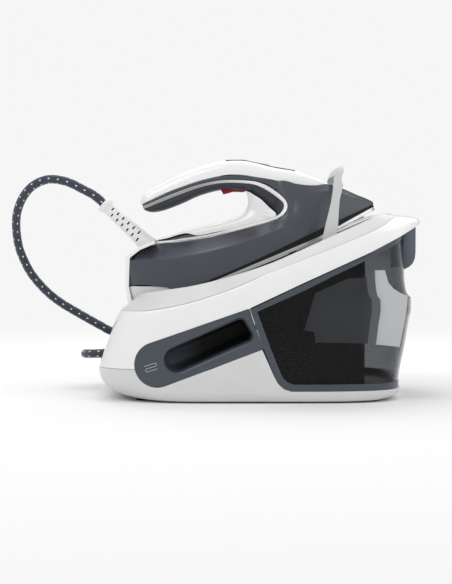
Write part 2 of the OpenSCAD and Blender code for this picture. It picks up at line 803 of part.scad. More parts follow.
module steam_trigger() {
    color("#7A1020") iron_place() difference() {
        union() {
            iron_side([[154, 100], [155, 94], [167, 92.5], [177, 88], [185, 86], [188, 94],
                [178, 97], [166, 101]], 14);
            pin_place() cylinder(r = 4, h = 14, center = true);
        }
        pin_place() cylinder(r = trigger_pin_r + pin_gap, h = 40, center = true);
    }
}
module trigger_pin() {
    color(steel) iron_place() pin_place()
        cylinder(r = trigger_pin_r, h = handle_w - 4, center = true);
}
module trigger_switch() {
    color(black) iron_place() translate([161, -5, 108.5]) cube([14, 10, 9]);
}
// The spring is drawn as one grooved sleeve of its outer size
spring_r = 2.2;
spring_turn = 1.3;
module trigger_spring() {
    color(steel) iron_place() translate([158, 0, 101]) rotate_extrude()
        polygon(concat([[spring_r - 0.9, 4 * spring_turn], [spring_r - 0.9, 0]],
            [for (i = [0:8]) [spring_r - (i % 2) * 0.4, i * spring_turn / 2]]));
}
cuff_lean = 24.8;
cuff_len = 68;
cuff_at = [46, 0, 77.6];
module cuff_place() {
    translate(cuff_at) rotate([0, -cuff_lean, 0]) children();
}
module hose_cuff() {
    color(white) iron_place() cuff_place() rotate_extrude()
        polygon([[0, -7], [9.5, -7], [9.5, 4], [8.4, 20], [6.9, 52], [9.4, cuff_len - 2],
            [9.2, cuff_len], [0, cuff_len]]);
}

// ---------- steam hose ----------
run_far = 106;
run_near = bay_y + hose_d / 2 + 2.75;
hose_points = [[-187.3, 0, 228.7], [-198, 0, 238], [-213, 3, 246], [-227, 6, 253], [-241, 10, 257],
    [-254, 15, 258], [-266, 20, 255], [-277, 26, 249], [-286, 33, 240], [-293, 40, 229],
    [-298, 48, 216], [-300, 56, 202], [-300, 64, 188], [-298, 71, 173], [-293, 78, 158],
    [-286, 84, 143], [-276, 90, 129], [-264, 95, 116], [-249, 99, 104], [-233, 102, 94],
    [-216, 104, 84], [-200, 105, 75], [-187, 106, 68]];
function spline(a, b, c, d, t) = 0.5 * ((2 * b) + (c - a) * t
    + (2 * a - 5 * b + 4 * c - d) * t * t + (3 * b - a - 3 * c + d) * t * t * t);
function smooth_path(p, n) = [for (i = [0:len(p) - 2]) for (k = [0:n - 1])
    spline(p[max(0, i - 1)], p[i], p[i + 1], p[min(len(p) - 1, i + 2)], k / n)];
function unit(v) = v / norm(v);
function along(p, i) = unit(p[min(len(p) - 1, i + 1)] - p[max(0, i - 1)]);
module tube(p, r, sides) {
    rings = [for (i = [0:len(p) - 1]) let (d = along(p, i), u = unit(cross(d, [0.1, 1, 0.2])),
        v = cross(u, d)) for (k = [0:sides - 1])
        p[i] + r * (u * cos(360 * k / sides) + v * sin(360 * k / sides))];
    n = len(p);
    walls = [for (i = [0:n - 2]) for (k = [0:sides - 1]) let (m = (k + 1) % sides)
        [i * sides + k, i * sides + m, (i + 1) * sides + m, (i + 1) * sides + k]];
    ends = [[for (k = [sides - 1:-1:0]) k], [for (k = [0:sides - 1]) (n - 1) * sides + k]];
    polyhedron(rings, concat(walls, ends));
}
module hose_loop() {
    color("#2E3543") tube(concat(smooth_path(hose_points, 1), [hose_points[22]]), hose_d / 2, 10);
}
module hose_stored() {
    color("#2E3543") {
        hank(-216.5, -28.5, hose_low - hose_d / 2 - 0.25, hose_low + hose_d / 2 + 0.25);
        hank(-181.5, -28.5, hose_low + hose_d / 2 + 0.25, hank_top);
    }
}
module hank(x0, x1, z0, z1) {
    r = (run_far - run_near + hose_d) / 2;
    translate([0, (run_far + run_near) / 2, z0]) linear_extrude(z1 - z0) hull() {
        translate([x0 + r - hose_d / 2, 0]) circle(r);
        translate([x1 - r + hose_d / 2, 0]) circle(r);
    }
}

base_pan();
base_cover();
cord_pocket();
hose_pocket();
iron_rest();
rest_pads();
control_panel();
power_button();
eco_button();
rinse_button();
indicator_lens();
feet();
pan_screws();
bail_pins();
bail_catch();
hose_gland();
mains_gland();
boiler_housing();
boiler();
boiler_jacket();
boiler_heater();
boiler_thermostat();
rinse_plug();
steam_valve();
pump();
feed_tube();
boiler_tube();
steam_tube();
control_board();
lock_bail();
water_tank();
tank_frame();
tank_grip();
tank_valve();
tank_seal();
soleplate();
heat_casting();
sole_heater();
heat_shield();
iron_body();
body_trim();
handle_cap();
handle_grip();
handle_trim();
inner_saddle();
heel_cover();
heel_skirt();
button_plate();
boost_button();
steam_trigger();
trigger_pin();
trigger_spring();
trigger_switch();
iron_thermostat();
heel_screws();
hose_cuff();
hose_loop();
hose_stored();
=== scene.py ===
import bisect
import math

import bpy
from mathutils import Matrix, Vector


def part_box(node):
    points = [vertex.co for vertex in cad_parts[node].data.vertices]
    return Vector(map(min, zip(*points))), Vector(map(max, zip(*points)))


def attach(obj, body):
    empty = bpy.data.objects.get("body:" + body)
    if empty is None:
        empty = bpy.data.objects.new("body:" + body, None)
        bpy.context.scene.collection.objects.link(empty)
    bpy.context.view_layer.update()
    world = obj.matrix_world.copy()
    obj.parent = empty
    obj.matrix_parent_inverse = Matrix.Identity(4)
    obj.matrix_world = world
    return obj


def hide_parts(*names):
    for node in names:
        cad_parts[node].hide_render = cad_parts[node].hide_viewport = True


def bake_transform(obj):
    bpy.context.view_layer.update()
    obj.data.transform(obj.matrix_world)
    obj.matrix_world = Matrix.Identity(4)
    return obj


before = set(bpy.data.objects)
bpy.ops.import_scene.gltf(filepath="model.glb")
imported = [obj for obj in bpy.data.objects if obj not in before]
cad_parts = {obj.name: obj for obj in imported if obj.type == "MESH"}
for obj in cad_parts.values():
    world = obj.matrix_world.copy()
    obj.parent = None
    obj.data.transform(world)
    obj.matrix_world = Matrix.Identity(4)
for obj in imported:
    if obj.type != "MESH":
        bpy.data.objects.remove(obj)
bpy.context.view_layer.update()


# ---------- Camera ----------
# A studio camera stands 1.8 m in front of the iron, a little above its middle.
# A long lens keeps the long base nearly free of perspective.
MM = 0.001
CAMERA_PITCH = math.radians(87.7)
CAMERA_LENS = 92.1
camera_data = bpy.data.cameras.new("studio_camera")
camera_data.lens = CAMERA_LENS
camera_data.clip_start = 0.05
camera_data.clip_end = 20
camera = bpy.data.objects.new("studio_camera", camera_data)
bpy.context.scene.collection.objects.link(camera)
camera.location = (-0.0398, -1.7985, 0.1942)
camera.rotation_euler = (CAMERA_PITCH, 0, 0)
bpy.context.scene.camera = camera


# ---------- Steam hose ----------
# One silicone steam hose in a woven textile sleeve with white tracer threads. It leaves the
# iron's bend protector, arches over to the far side of the base and is folded into the
# compartment there, where it ends in its gland.
def colour(code):
    """A linear colour with full alpha from an sRGB hex code."""
    channels = [int(code[i:i + 2], 16) / 255 for i in (1, 3, 5)]
    return [c / 12.92 if c <= 0.04045 else ((c + 0.055) / 1.055) ** 2.4 for c in channels] + [1]


def put(tree, kind, inputs=None, **settings):
    """Adds a shader node. A socket among the inputs is linked, and any other value is set."""
    made = tree.nodes.new("ShaderNode" + kind)
    for key, value in settings.items():
        setattr(made, key, value)
    for key, value in (inputs or {}).items():
        if isinstance(value, bpy.types.NodeSocket):
            tree.links.new(value, made.inputs[key])
        else:
            made.inputs[key].default_value = value
    return made


def new_material(name, **surface):
    """A material with an empty node tree, its shader and its object coordinates."""
    material = bpy.data.materials.new(name)
    material.use_nodes = True
    tree = material.node_tree
    tree.nodes.clear()
    shader = put(tree, "BsdfPrincipled", surface)
    put(tree, "OutputMaterial", {"Surface": shader.outputs["BSDF"]})
    place = put(tree, "TexCoord").outputs["Object"]
    return material, tree, shader, place


def smooth_route(points, steps):
    """A Catmull-Rom curve through the points."""
    route = []
    last = len(points) - 1
    for i in range(last):
        a, b, c, d = (Vector(points[k]) for k in (max(0, i - 1), i, i + 1, min(last, i + 2)))
        for k in range(steps):
            t = k / steps
            route.append(0.5 * (2 * b + (c - a) * t + (2 * a - 5 * b + 4 * c - d) * t * t
                                + (3 * b - a - 3 * c + d) * t ** 3))
    return route + [Vector(points[-1])]


def tube(name, route, radius, sides):
    """A round tube along a route, with its length in metres and its turn in a UV map."""
    bpy.ops.object.select_all(action="DESELECT")
    columns, rows = len(route) - 1, sides
    bpy.ops.mesh.primitive_grid_add(x_subdivisions=columns, y_subdivisions=rows, size=2)
    piece = bpy.context.object
    piece.name = name
    run = [0]
    for a, b in zip(route, route[1:]):
        run.append(run[-1] + (b - a).length)
    normal = Vector((0, 1, 0))
    rings = []
    for i, point in enumerate(route):
        ahead = (route[min(columns, i + 1)] - route[max(0, i - 1)]).normalized()
        normal = (normal - ahead * normal.dot(ahead)).normalized()
        rings.append((point, normal.copy(), ahead.cross(normal)))
    uv = piece.data.uv_layers[0].data
    for loop in piece.data.loops:
        co = piece.data.vertices[loop.vertex_index].co
        uv[loop.index].uv = ((co.y + 1) / 2, run[round((co.x + 1) / 2 * columns)])
    for vertex in piece.data.vertices:
        point, side, up = rings[round((vertex.co.x + 1) / 2 * columns)]
        turn = math.pi * (vertex.co.y + 1)
        vertex.co = point + radius * (side * math.cos(turn) + up * math.sin(turn))
    bpy.ops.object.mode_set(mode="EDIT")
    bpy.ops.mesh.select_all(action="SELECT")
    bpy.ops.mesh.remove_doubles(threshold=1e-6)
    bpy.ops.mesh.select_all(action="DESELECT")
    bpy.ops.mesh.select_non_manifold()
    bpy.ops.mesh.edge_face_add()
    bpy.ops.mesh.select_all(action="SELECT")
    bpy.ops.mesh.normals_make_consistent(inside=False)
    bpy.ops.object.mode_set(mode="OBJECT")
    return piece


def dress(piece, material, body, replaced=(), sharp=35):
    """Gives a finished piece its smooth shading, its material and its body, and hides the CAD nodes it
    stands for.
    """
    bpy.ops.object.select_all(action="DESELECT")
    piece.select_set(True)
    bpy.context.view_layer.objects.active = piece
    bpy.ops.object.shade_smooth_by_angle(angle=math.radians(sharp))
    piece.data.materials.clear()
    piece.data.materials.append(material)
    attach(piece, body)
    if replaced:
        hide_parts(*replaced)
    return piece


def fold(x, y_from, y_to, z_from, z_to, way):
    """A hank's half turn about x, from one run to the other; way is 1 at its right end."""
    middle, reach = (y_from + y_to) / 2, abs(y_to - y_from) / 2
    turn = [math.pi * k / 12 for k in range(13)]
    side = 1 if y_from > y_to else -1
    return [(x + way * reach * math.sin(t), middle + side * reach * math.cos(t),
             z_from + (z_to - z_from) * k / 12) for k, t in enumerate(turn)]


hose_d = 10.5
hose_loop = [(-187.3, 0, 228.7), (-198, 0, 238), (-213, 3, 246), (-227, 6, 253), (-241, 10, 257),
             (-254, 15, 258), (-266, 20, 255), (-277, 26, 249), (-286, 33, 240), (-293, 40, 229),
             (-298, 48, 216), (-300, 56, 202), (-300, 64, 188), (-298, 71, 173), (-293, 78, 158),
             (-286, 84, 143), (-276, 90, 129), (-264, 95, 116), (-249, 99, 104), (-233, 102, 94),
             (-216, 104, 84), (-200, 105, 75), (-187, 106, 68)]
run_far, run_near = 106, 43
layers = (60, 49, 38)
fold_right, fold_left, fold_out = -60, -150, -185
hose_stored = [(-170, run_far, 62.5), (-150, run_far, layers[0]), (-120, run_far, layers[0]),
               (-90, run_far, layers[0])]
hose_stored += fold(fold_right, run_far, run_near, layers[0], layers[0], 1)
hose_stored += [(-90, run_near, 58), (-120, run_near, 52)]
hose_stored += fold(fold_left, run_near, run_far, layers[1], layers[1], -1)
hose_stored += [(-120, run_far, layers[1]), (-90, run_far, layers[1])]
hose_stored += fold(fold_right, run_far, run_near, layers[1], layers[1], 1)
hose_stored += [(-90, run_near, 48), (-120, run_near, 47), (-150, run_near, 46)]
hose_stored += fold(fold_out, run_near, run_far, 45, layers[2], -1)
hose_stored += [(-150, run_far, layers[2]), (-120, run_far, layers[2]), (-90, run_far, layers[2]),
                (-60, run_far, layers[2]), (-40, run_far, layers[2]), (-23, run_far, layers[2])]
hose_route = [p * MM for p in smooth_route(hose_loop + hose_stored, 5)]
hose = tube("steam_hose", hose_route, hose_d / 2 * MM, 20)

# Woven polyester sleeve: matt, almost black blue, with a soft sheen across the threads. The real
# threads are about 1 mm wide and are drawn at 1.8 mm, and the white tracers stand in rows 12 mm apart.
braid, tree, shader, place = new_material("woven_polyester_sleeve", Roughness=0.62)
shader.inputs["Sheen Weight"].default_value = 0.35
shader.inputs["Sheen Roughness"].default_value = 0.4
run_map = put(tree, "SeparateXYZ", {0: put(tree, "TexCoord").outputs["UV"]})
turn_part, run_part = run_map.outputs[0], run_map.outputs[1]
threads = 18
thread_up = put(tree, "Math", {0: turn_part, 1: threads}, operation="MULTIPLY").outputs[0]
thread_on = put(tree, "Math", {0: run_part, 1: threads / (math.pi * hose_d * MM)},
                operation="MULTIPLY").outputs[0]
weave_parts = []
for way in ("ADD", "SUBTRACT"):
    slant = put(tree, "Math", {0: thread_up, 1: thread_on}, operation=way).outputs[0]
    wave = put(tree, "Math", {0: slant, 1: math.pi}, operation="MULTIPLY").outputs[0]
    weave_parts.append(put(tree, "Math", {0: wave}, operation="SINE").outputs[0])
weave = put(tree, "Math", {0: weave_parts[0], 1: weave_parts[1]}, operation="MULTIPLY").outputs[0]
weave_shade = put(tree, "MapRange", {0: weave, 1: -1.0, 2: 1.0, 3: 0.0, 4: 1.0}).outputs[0]
sleeve = put(tree, "Mix", {0: weave_shade, 6: colour("#1B212D"), 7: colour("#3A4355")},
             data_type="RGBA").outputs[2]
tracer_gap, tracers_round = 12 * MM, 5
marks = []
for part, scale, size in ((turn_part, tracers_round, 0.11), (run_part, 1 / tracer_gap, 0.1)):
    spread = put(tree, "Math", {0: part, 1: scale}, operation="MULTIPLY").outputs[0]
    if part is run_part:
        skew = put(tree, "Math", {0: turn_part, 1: 0.6}, operation="MULTIPLY").outputs[0]
        spread = put(tree, "Math", {0: spread, 1: skew}, operation="ADD").outputs[0]
    step = put(tree, "Math", {0: spread}, operation="FRACT").outputs[0]
    off = put(tree, "Math", {0: step, 1: 0.5}, operation="SUBTRACT").outputs[0]
    away = put(tree, "Math", {0: off}, operation="ABSOLUTE").outputs[0]
    marks.append(put(tree, "Math", {0: away, 1: size}, operation="LESS_THAN").outputs[0])
tracer = put(tree, "Math", {0: marks[0], 1: marks[1]}, operation="MULTIPLY").outputs[0]
sleeve = put(tree, "Mix", {0: tracer, 6: sleeve, 7: colour("#E6E8EC")}, data_type="RGBA").outputs[2]
tree.links.new(sleeve, shader.inputs["Base Color"])
thread_bump = put(tree, "Bump", {"Height": weave, "Strength": 0.5, "Distance": 0.0006})
tree.links.new(thread_bump.outputs[0], shader.inputs["Normal"])

bpy.ops.object.select_all(action="DESELECT")
hose.select_set(True)
bpy.context.view_layer.objects.active = hose
bpy.ops.object.shade_smooth_by_angle(angle=math.radians(50))
hose.data.materials.append(braid)
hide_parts("hose_loop", "hose_stored")
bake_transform(hose)


# ---------- Base pan ----------
# The lower moulding of the base, light grey ABS with a fine satin grain. It turns up into rounded
# sides, carries the tank on its flat front part, and its four rubber feet are let into its floor.
cover_low, cover_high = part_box("base_cover")
left = round(cover_low[0] / MM + 2.6, 1)
right = round(cover_high[0] / MM - 5, 1)
half = round(cover_high[1] / MM, 1)
pan_right = right - 23
corner_power = 4.5
seam_z = 38
PLAN_COLUMNS = 176


def smooth_line(points):
    """A smooth line through points, read by its first value."""
    xs, zs = zip(*points)
    slopes = [(zs[i + 1] - zs[i]) / (xs[i + 1] - xs[i]) for i in range(len(xs) - 1)]
    bends = [(a + b) / 2 if a * b > 0 else 0 for a, b in zip(slopes, slopes[1:])]
    tangents = [slopes[0]] + bends + [slopes[-1]]

    def at(x):
        x = min(max(x, xs[0]), xs[-1])
        i = min(bisect.bisect_right(xs, x) - 1, len(xs) - 2)
        h = xs[i + 1] - xs[i]
        t = (x - xs[i]) / h
        return ((2 * t ** 3 - 3 * t * t + 1) * zs[i] + (t ** 3 - 2 * t * t + t) * h * tangents[i]
                + (3 * t * t - 2 * t ** 3) * zs[i + 1] + (t ** 3 - t * t) * h * tangents[i + 1])
    return at


def ease(a, b, x):
    """0 before a, 1 after b, and smooth between them."""
    t = min(max((x - a) / (b - a), 0), 1)
    return t * t * (3 - 2 * t)


def squircle(turn, x_left, x_right, half_width, power=corner_power):
    """A point of a rounded rectangle that is seen from above; turn is in radians."""
    c, s = math.cos(turn), math.sin(turn)
    x = (x_right if c >= 0 else -x_left) * math.copysign(abs(c) ** (2 / power), c)
    return x, half_width * math.copysign(abs(s) ** (2 / power), s)


def even_turns(count):
    """Turns that stand at equal distances along the base's outline, the first one repeated."""
    fine = [2 * math.pi * i / 4000 for i in range(4001)]
    spots = [Vector(squircle(t, left, right, half)) for t in fine]
    run = [0]
    for a, b in zip(spots, spots[1:]):
        run.append(run[-1] + (b - a).length)
    return [fine[min(bisect.bisect_left(run, run[-1] * i / count), 4000)]
            for i in range(count)] + [2 * math.pi]


plan_turns = even_turns(PLAN_COLUMNS)


def activate(piece):
    bpy.ops.object.select_all(action="DESELECT")
    piece.select_set(True)
    bpy.context.view_layer.objects.active = piece


def net(name, across, along, place, ring=False, caps=()):
    """A grid laid over a moulded surface. place(i, v) gives the point of column i at height v,
    ring joins the last column to the first, and caps closes its first (0) or last (1) row."""
    bpy.ops.object.select_all(action="DESELECT")
    bpy.ops.mesh.primitive_grid_add(x_subdivisions=across, y_subdivisions=along, size=2)
    piece = bpy.context.object
    piece.name = name
    rows = {0: [], 1: []}
    for vertex in piece.data.vertices:
        i, j = round((vertex.co.x + 1) / 2 * across), round((vertex.co.y + 1) / 2 * along)
        if j in (0, along):
            rows[0 if j == 0 else 1].append(vertex.index)
        vertex.co = Vector(place(i, j / along)) * MM
    for end in caps:
        activate(piece)
        bpy.ops.object.mode_set(mode="EDIT")
        bpy.ops.mesh.select_mode(type="VERT")
        bpy.ops.mesh.select_all(action="DESELECT")
        bpy.ops.object.mode_set(mode="OBJECT")
        for index in rows[end]:
            piece.data.vertices[index].select = True
        bpy.ops.object.mode_set(mode="EDIT")
        bpy.ops.mesh.edge_face_add()
        bpy.ops.object.mode_set(mode="OBJECT")
    if ring:
        tidy_mesh(piece)
    return piece


def tidy_mesh(piece):
    """Merges doubled points and turns the faces outwards."""
    activate(piece)
    bpy.ops.object.mode_set(mode="EDIT")
    bpy.ops.mesh.select_all(action="SELECT")
    bpy.ops.mesh.remove_doubles(threshold=2e-6)
    bpy.ops.mesh.normals_make_consistent(inside=False)
    bpy.ops.object.mode_set(mode="OBJECT")
    return piece


def prism(name, outline, y_from, y_to):
    """A side outline of x and z, drawn out across the base."""
    bpy.ops.object.select_all(action="DESELECT")
    bpy.ops.mesh.primitive_circle_add(vertices=len(outline), fill_type="NGON")
    piece = bpy.context.object
    piece.name = name
    for vertex, (x, z) in zip(piece.data.vertices, outline):
        vertex.co = Vector((x, y_from, z)) * MM
    bpy.ops.object.mode_set(mode="EDIT")
    bpy.ops.mesh.select_all(action="SELECT")
    bpy.ops.mesh.extrude_region_move(
        TRANSFORM_OT_translate={"value": (0, (y_to - y_from) * MM, 0)})
    bpy.ops.object.mode_set(mode="OBJECT")
    return tidy_mesh(piece)


def block(name, low, high):
    """A box between two corners, in millimetres."""
    return prism(name, [(low[0], low[2]), (high[0], low[2]), (high[0], high[2]),
                        (low[0], high[2])], low[1], high[1])


def apply_modifier(piece, kind, **settings):
    activate(piece)
    bpy.ops.object.modifier_add(type=kind)
    modifier = piece.modifiers[-1]
    for key, value in settings.items():
        setattr(modifier, key, value)
    bpy.ops.object.modifier_apply(modifier=modifier.name)
    return piece


def cut(piece, *tools, way="DIFFERENCE", folded=False):
    """Cuts the tools from the piece, or joins or keeps them, and throws the tools away."""
    for tool in tools:
        apply_modifier(piece, "BOOLEAN", object=tool, operation=way, solver="EXACT",
                       use_self=folded)
        bpy.data.objects.remove(tool)
    return piece


def soften(piece, width, sharp=38, segments=2):
    """Rounds the sharp edges of a moulding."""
    return apply_modifier(piece, "BEVEL", width=width * MM, segments=segments,
                          limit_method="ANGLE", angle_limit=math.radians(sharp),
                          use_clamp_overlap=True, miter_outer="MITER_ARC")


def moulded(name, code, roughness, grain_mm, bump, specular=0.5, coat=0.0, mottle=0.06):
    """An injection moulded plastic: its spark eroded grain, and a faint change of tone."""
    material, tree, shader, place = new_material(name, Roughness=roughness)
    shader.inputs["Specular IOR Level"].default_value = specular
    shader.inputs["Coat Weight"].default_value = coat
    shader.inputs["Coat Roughness"].default_value = 0.06
    grain = put(tree, "TexNoise", {"Vector": place, "Scale": 1 / (grain_mm * MM), "Detail": 3.0})
    cloud = put(tree, "TexNoise", {"Vector": place, "Scale": 22.0, "Detail": 2.0})
    tone = put(tree, "MapRange", {0: cloud.outputs[0], 1: 0.3, 2: 0.7, 3: 1 - mottle, 4: 1.0})
    tint = put(tree, "Mix", {0: 1.0, 6: colour(code), 7: tone.outputs[0]},
               data_type="RGBA", blend_type="MULTIPLY")
    tree.links.new(tint.outputs[2], shader.inputs["Base Color"])
    sheen = put(tree, "MapRange", {0: cloud.outputs[0], 1: 0.3, 2: 0.7, 3: roughness - 0.03,
                                   4: roughness + 0.04})
    tree.links.new(sheen.outputs[0], shader.inputs["Roughness"])
    relief = put(tree, "Bump", {"Height": grain.outputs[0], "Strength": bump, "Distance": 0.0003})
    tree.links.new(relief.outputs[0], shader.inputs["Normal"])
    return material


# Light grey ABS with a fine eroded grain: a broad, soft gloss and no sharp reflections.
light_abs = moulded("light_grey_satin_abs", "#DADADB", 0.36, 0.9, 0.10)

end_lean = smooth_line([(0, -162), (2, -163), (7, -173), (14, -181), (25, -187.5), (36, -189.5),
                        (48, -186), (69, -178.4), (79, -174.6), (90, -171), (96, -168),
                        (105, -162), (114, -154.6), (140, -140)])
pan_cut = [(-260, seam_z), (-60, seam_z), (1, 61.6), (14.6, 31), (19.4, 22.4),
           (26, 16.6), (34, 14), (260, 14), (260, 120),
           (-260, 120)]
PAN_CURVE = 0.5


def pan_place(i, v):
    turn = plan_turns[i]
    x_side, _ = squircle(turn, left, pan_right, half)
    at_left, at_right = ease(-90, -192, x_side), ease(130, 168, x_side)
    inset = 12 + 34 * at_left + 8 * at_right
    rise = 11 + 21 * at_left
    if v <= PAN_CURVE:
        bend = math.pi / 2 * v / PAN_CURVE
        inward, z = inset * (1 - math.sin(bend)), 2 + rise * (1 - math.cos(bend))
    else:
        inward, z = 0, 2 + rise + (66 - 2 - rise) * (v - PAN_CURVE) / (1 - PAN_CURVE)
    x_end = left if z < 36 else end_lean(z)
    x, y = squircle(turn, x_end + inward, pan_right - inward, half - 0.5 * inward)
    return x, y, z


pan = net("base_pan_shell", PLAN_COLUMNS, 20, pan_place, ring=True, caps=(0, 1))
cut(pan, prism("pan_top", pan_cut, -200, 200))
bay = ((-260, 35, 31), (-8, 200, 71))
cut(pan, block("hose_bay", *bay))
moulding_gap = 0.4


def round_hull(circles, grow, count=72):
    """The outline around circles of (x, z, radius), each grown by the same amount."""
    outline = []
    for k in range(count):
        way = Vector((math.cos(2 * math.pi * k / count), math.sin(2 * math.pi * k / count)))
        x, z, r = max(circles, key=lambda c: way.dot((c[0], c[1])) + c[2])
        spot = Vector((x, z)) + way * (r + grow)
        outline.append((spot.x, spot.y))
    return outline


pocket_outline = [(-118, 44, 25.5), (-15.2, 104.8, 2.2), (0.2, 63.6, 2), (-30, 62, 2)]
pocket_mouth = [(-96, 50, 14), (-24, 89, 6), (-17, 77, 6)]
pocket_depth = 52
panel_low, panel_high, panel_half = (left, 34), (left + 19.5, 91), 34


def panel_prism(name, out, depth, grow):
    """The control panel's slab on the leaning end of the base."""
    (x0, z0), (x1, z1) = panel_low, panel_high
    return prism(name, [(x0 - out, z0 - grow), (x1 - out, z1 + grow), (x1 + depth, z1 + grow),
                        (x0 + depth, z0 - grow)], -panel_half - grow, panel_half + grow)


def cut_common(shell):
    """The openings that the pan and the cover share: pocket, panel seat and their clearances."""
    cut(shell, prism("pocket", round_hull(pocket_outline, moulding_gap), -130, -half + 13),
        prism("pocket_end", [(-22, 103), (-12, 108.5), (3.4, 62), (-2, 61.4), (-8, 64)], -130,
              -half + 13),
        prism("mouth", round_hull(pocket_mouth, 3.4), -130, -half + pocket_depth + 4),
        panel_prism("panel_seat", 5, 3, moulding_gap))


cut_common(pan)
soften(pan, 0.9)
dress(pan, light_abs, "base", ["base_pan"])


# ---------- Base cover ----------
# The upper moulding, glossy white ABS. It closes the control panel end, runs up both sides as a
# band over the tank and ends in the beak; it is screwed to the pan from below.
rim_left, rim_right, rim_half = -147, 149, 101
seam_left, seam_right, seam_half = -164, 162, 114.5
seam_line = smooth_line([(-164, 103), (-152, 104), (-139, 104), (-115, 107), (-90, 112),
                         (-65, 119), (-28, 132), (4, 146), (43, 161), (76, 174), (108, 187),
                         (130, 196.5), (142, 203), (153, 210.5), (162, 214.2)])
rim_line = smooth_line([(-147, 118), (-140, 122.5), (-116, 127), (-78, 133), (-41, 142), (5, 156.5),
                        (44, 173), (86, 192), (109, 202), (125, 209.4), (135, 213.6), (149, 216.2)])
band_foot = smooth_line([(-189.5, 38), (-60, 70), (-18, 104), (48, 136), (125, 171), (172, 197),
                         (188, 205)])
cover_cut = [(-260, seam_z + moulding_gap), (-60, seam_z + moulding_gap), (1, 62), (-13.4, 108),
             (48, 137), (125, 172), (158, 189), (172, 197), (180, 201.5), (188, 205), (260, 208),
             (260, -40), (-260, -40)]
iron_at, iron_tilt = (-150, 93), math.radians(22.5)
tilt_c, tilt_s = math.cos(iron_tilt), math.sin(iron_tilt)
sole_len, sole_w, heel_x, recess_gap, recess_floor = 310, 120, 6, 6, -7


def placed(x, y, z):
    """A point of the iron's own frame, with x along the sole and z up from it, in the base's."""
    return iron_at[0] + x * tilt_c - z * tilt_s, y, iron_at[1] + x * tilt_s + z * tilt_c


def sole_half(x):
    t = min(max((x - heel_x) / sole_len, 0), 1)
    heel = max(0, 20 + heel_x - x)
    return sole_w / 2 * (1 - t ** 2.2) ** 0.85 * math.sqrt(1 - (heel / 30) ** 2)


def even_line(points, count):
    """The points of a polyline at equal distances."""
    run = [0]
    for a, b in zip(points, points[1:]):
        run.append(run[-1] + (Vector(b) - Vector(a)).length)
    spread = []
    for k in range(count + 1):
        want = run[-1] * k / count
        i = min(max(bisect.bisect_left(run, want), 1), len(points) - 1)
        t = (want - run[i - 1]) / max(run[i] - run[i - 1], 1e-9)
        spread.append(Vector(points[i - 1]).lerp(Vector(points[i]), t))
    return spread


recess_end = heel_x + sole_len + recess_gap
recess_side = []
for k in range(121):
    x = recess_end * (0.5 + 0.5 * math.cos(math.pi * k / 120))
    y = sole_half(heel_x + x * sole_len / recess_end)
    recess_side.append((x, y + recess_gap * math.sqrt(max(0, 1 - (x / recess_end) ** 8))))
recess_ring = even_line(recess_side + [(0, 0)] + [(x, -y) for x, y in reversed(recess_side)],
                        PLAN_COLUMNS)
rear_stop = -141


def recess_edge(i, drop):
    """Where the deck turns down into the iron's recess, a little under the rim."""
    x, y = recess_ring[i % PLAN_COLUMNS]
    z = 20
    for _ in range(6):
        wx = max(placed(x, y, z)[0], rear_stop)
        z = (rim_line(wx) - 2.5 - drop - iron_at[1] - x * tilt_s) / tilt_c
    wx, _, wz = placed(x, y, z)
    return max(wx, rear_stop), y, rim_line(max(wx, rear_stop)) - 2.5 - drop


def recess_bottom(i, drop):
    x, y = recess_ring[i % PLAN_COLUMNS]
    wx, _, wz = placed(x, y, recess_floor - drop)
    return max(wx, rear_stop + 2), y, wz


def seam_point(i, inward, up):
    x, y = squircle(plan_turns[i], seam_left + inward, seam_right - inward, seam_half - inward)
    return x, y, seam_line(x) + up


def rim_point(i, inward, up):
    x, y = squircle(plan_turns[i], rim_left + inward, rim_right - inward, rim_half - inward)
    return x, y, rim_line(x) + up


COVER_ROWS = 20
BAND_ROWS = 14


def cover_place(i, v):
    row = round(v * COVER_ROWS)
    turn = plan_turns[i]
    x_side, _ = squircle(turn, left, right, half)
    foot, top = band_foot(x_side), seam_point(i, 0, 0)[2]
    if row == 0:
        x, y = squircle(turn, end_lean(26), right, half)
        return x, y, 26
    if row <= BAND_ROWS:
        t = (row - 1) / (BAND_ROWS - 1)
        at_beak = ease(110, 190, x_side)
        rise = t + (t ** 0.38 - t) * at_beak
        z = foot + (top - foot) * rise
        pull = 1 - math.cos(math.pi / 2 * t)
        inward = (right - seam_right) * (pull + (t ** 1.6 - pull) * at_beak)
        x, y = squircle(turn, end_lean(z), right - inward, half - (half - seam_half) * t ** 2.2)
        return x, y, z
    if row <= BAND_ROWS + 2:
        return seam_point(i, *((0.8, -0.3), (3.4, -4))[row - BAND_ROWS - 1])
    if row == BAND_ROWS + 3:
        return rim_point(i, 0, -4.5)
    if row == BAND_ROWS + 4:
        return recess_edge(i, 4.5)
    if row == BAND_ROWS + 5:
        return recess_bottom(i, 2)
    x, y, z = recess_bottom(i, 4)
    return x, 0.9 * y, z


# Glossy white ABS, polished mould: nearly no grain, a clear coat like gloss and a soft body.
white_abs = moulded("polished_white_abs", "#F1F1F1", 0.16, 1.6, 0.03, coat=0.25, mottle=0.02)
heel_gate = [(-140, 92), (-210, 124.6), (-210, 240), (-140, 240)]
groove_x, groove_y, groove_z = (68, 152), (60, 67), (170, 260)


def cut_top(shell):
    """The iron slides out over the low rear rim, and the bail's arms drop into two grooves."""
    cut(shell, prism("heel_gate", heel_gate, -64, 64), folded=True)
    for side in (-1, 1):
        y_low, y_high = sorted(side * y for y in groove_y)
        cut(shell, block("bail_groove", (groove_x[0], y_low, groove_z[0]),
                         (groove_x[1], y_high, groove_z[1])))


cover = net("base_cover_band", PLAN_COLUMNS, COVER_ROWS, cover_place, ring=True, caps=(0, 1))
cut(cover, prism("cover_foot", cover_cut, -200, 200), block("hose_bay", *bay))
cut_common(cover)
cut_top(cover)
soften(cover, 0.7)
dress(cover, white_abs, "base", ["base_cover"])


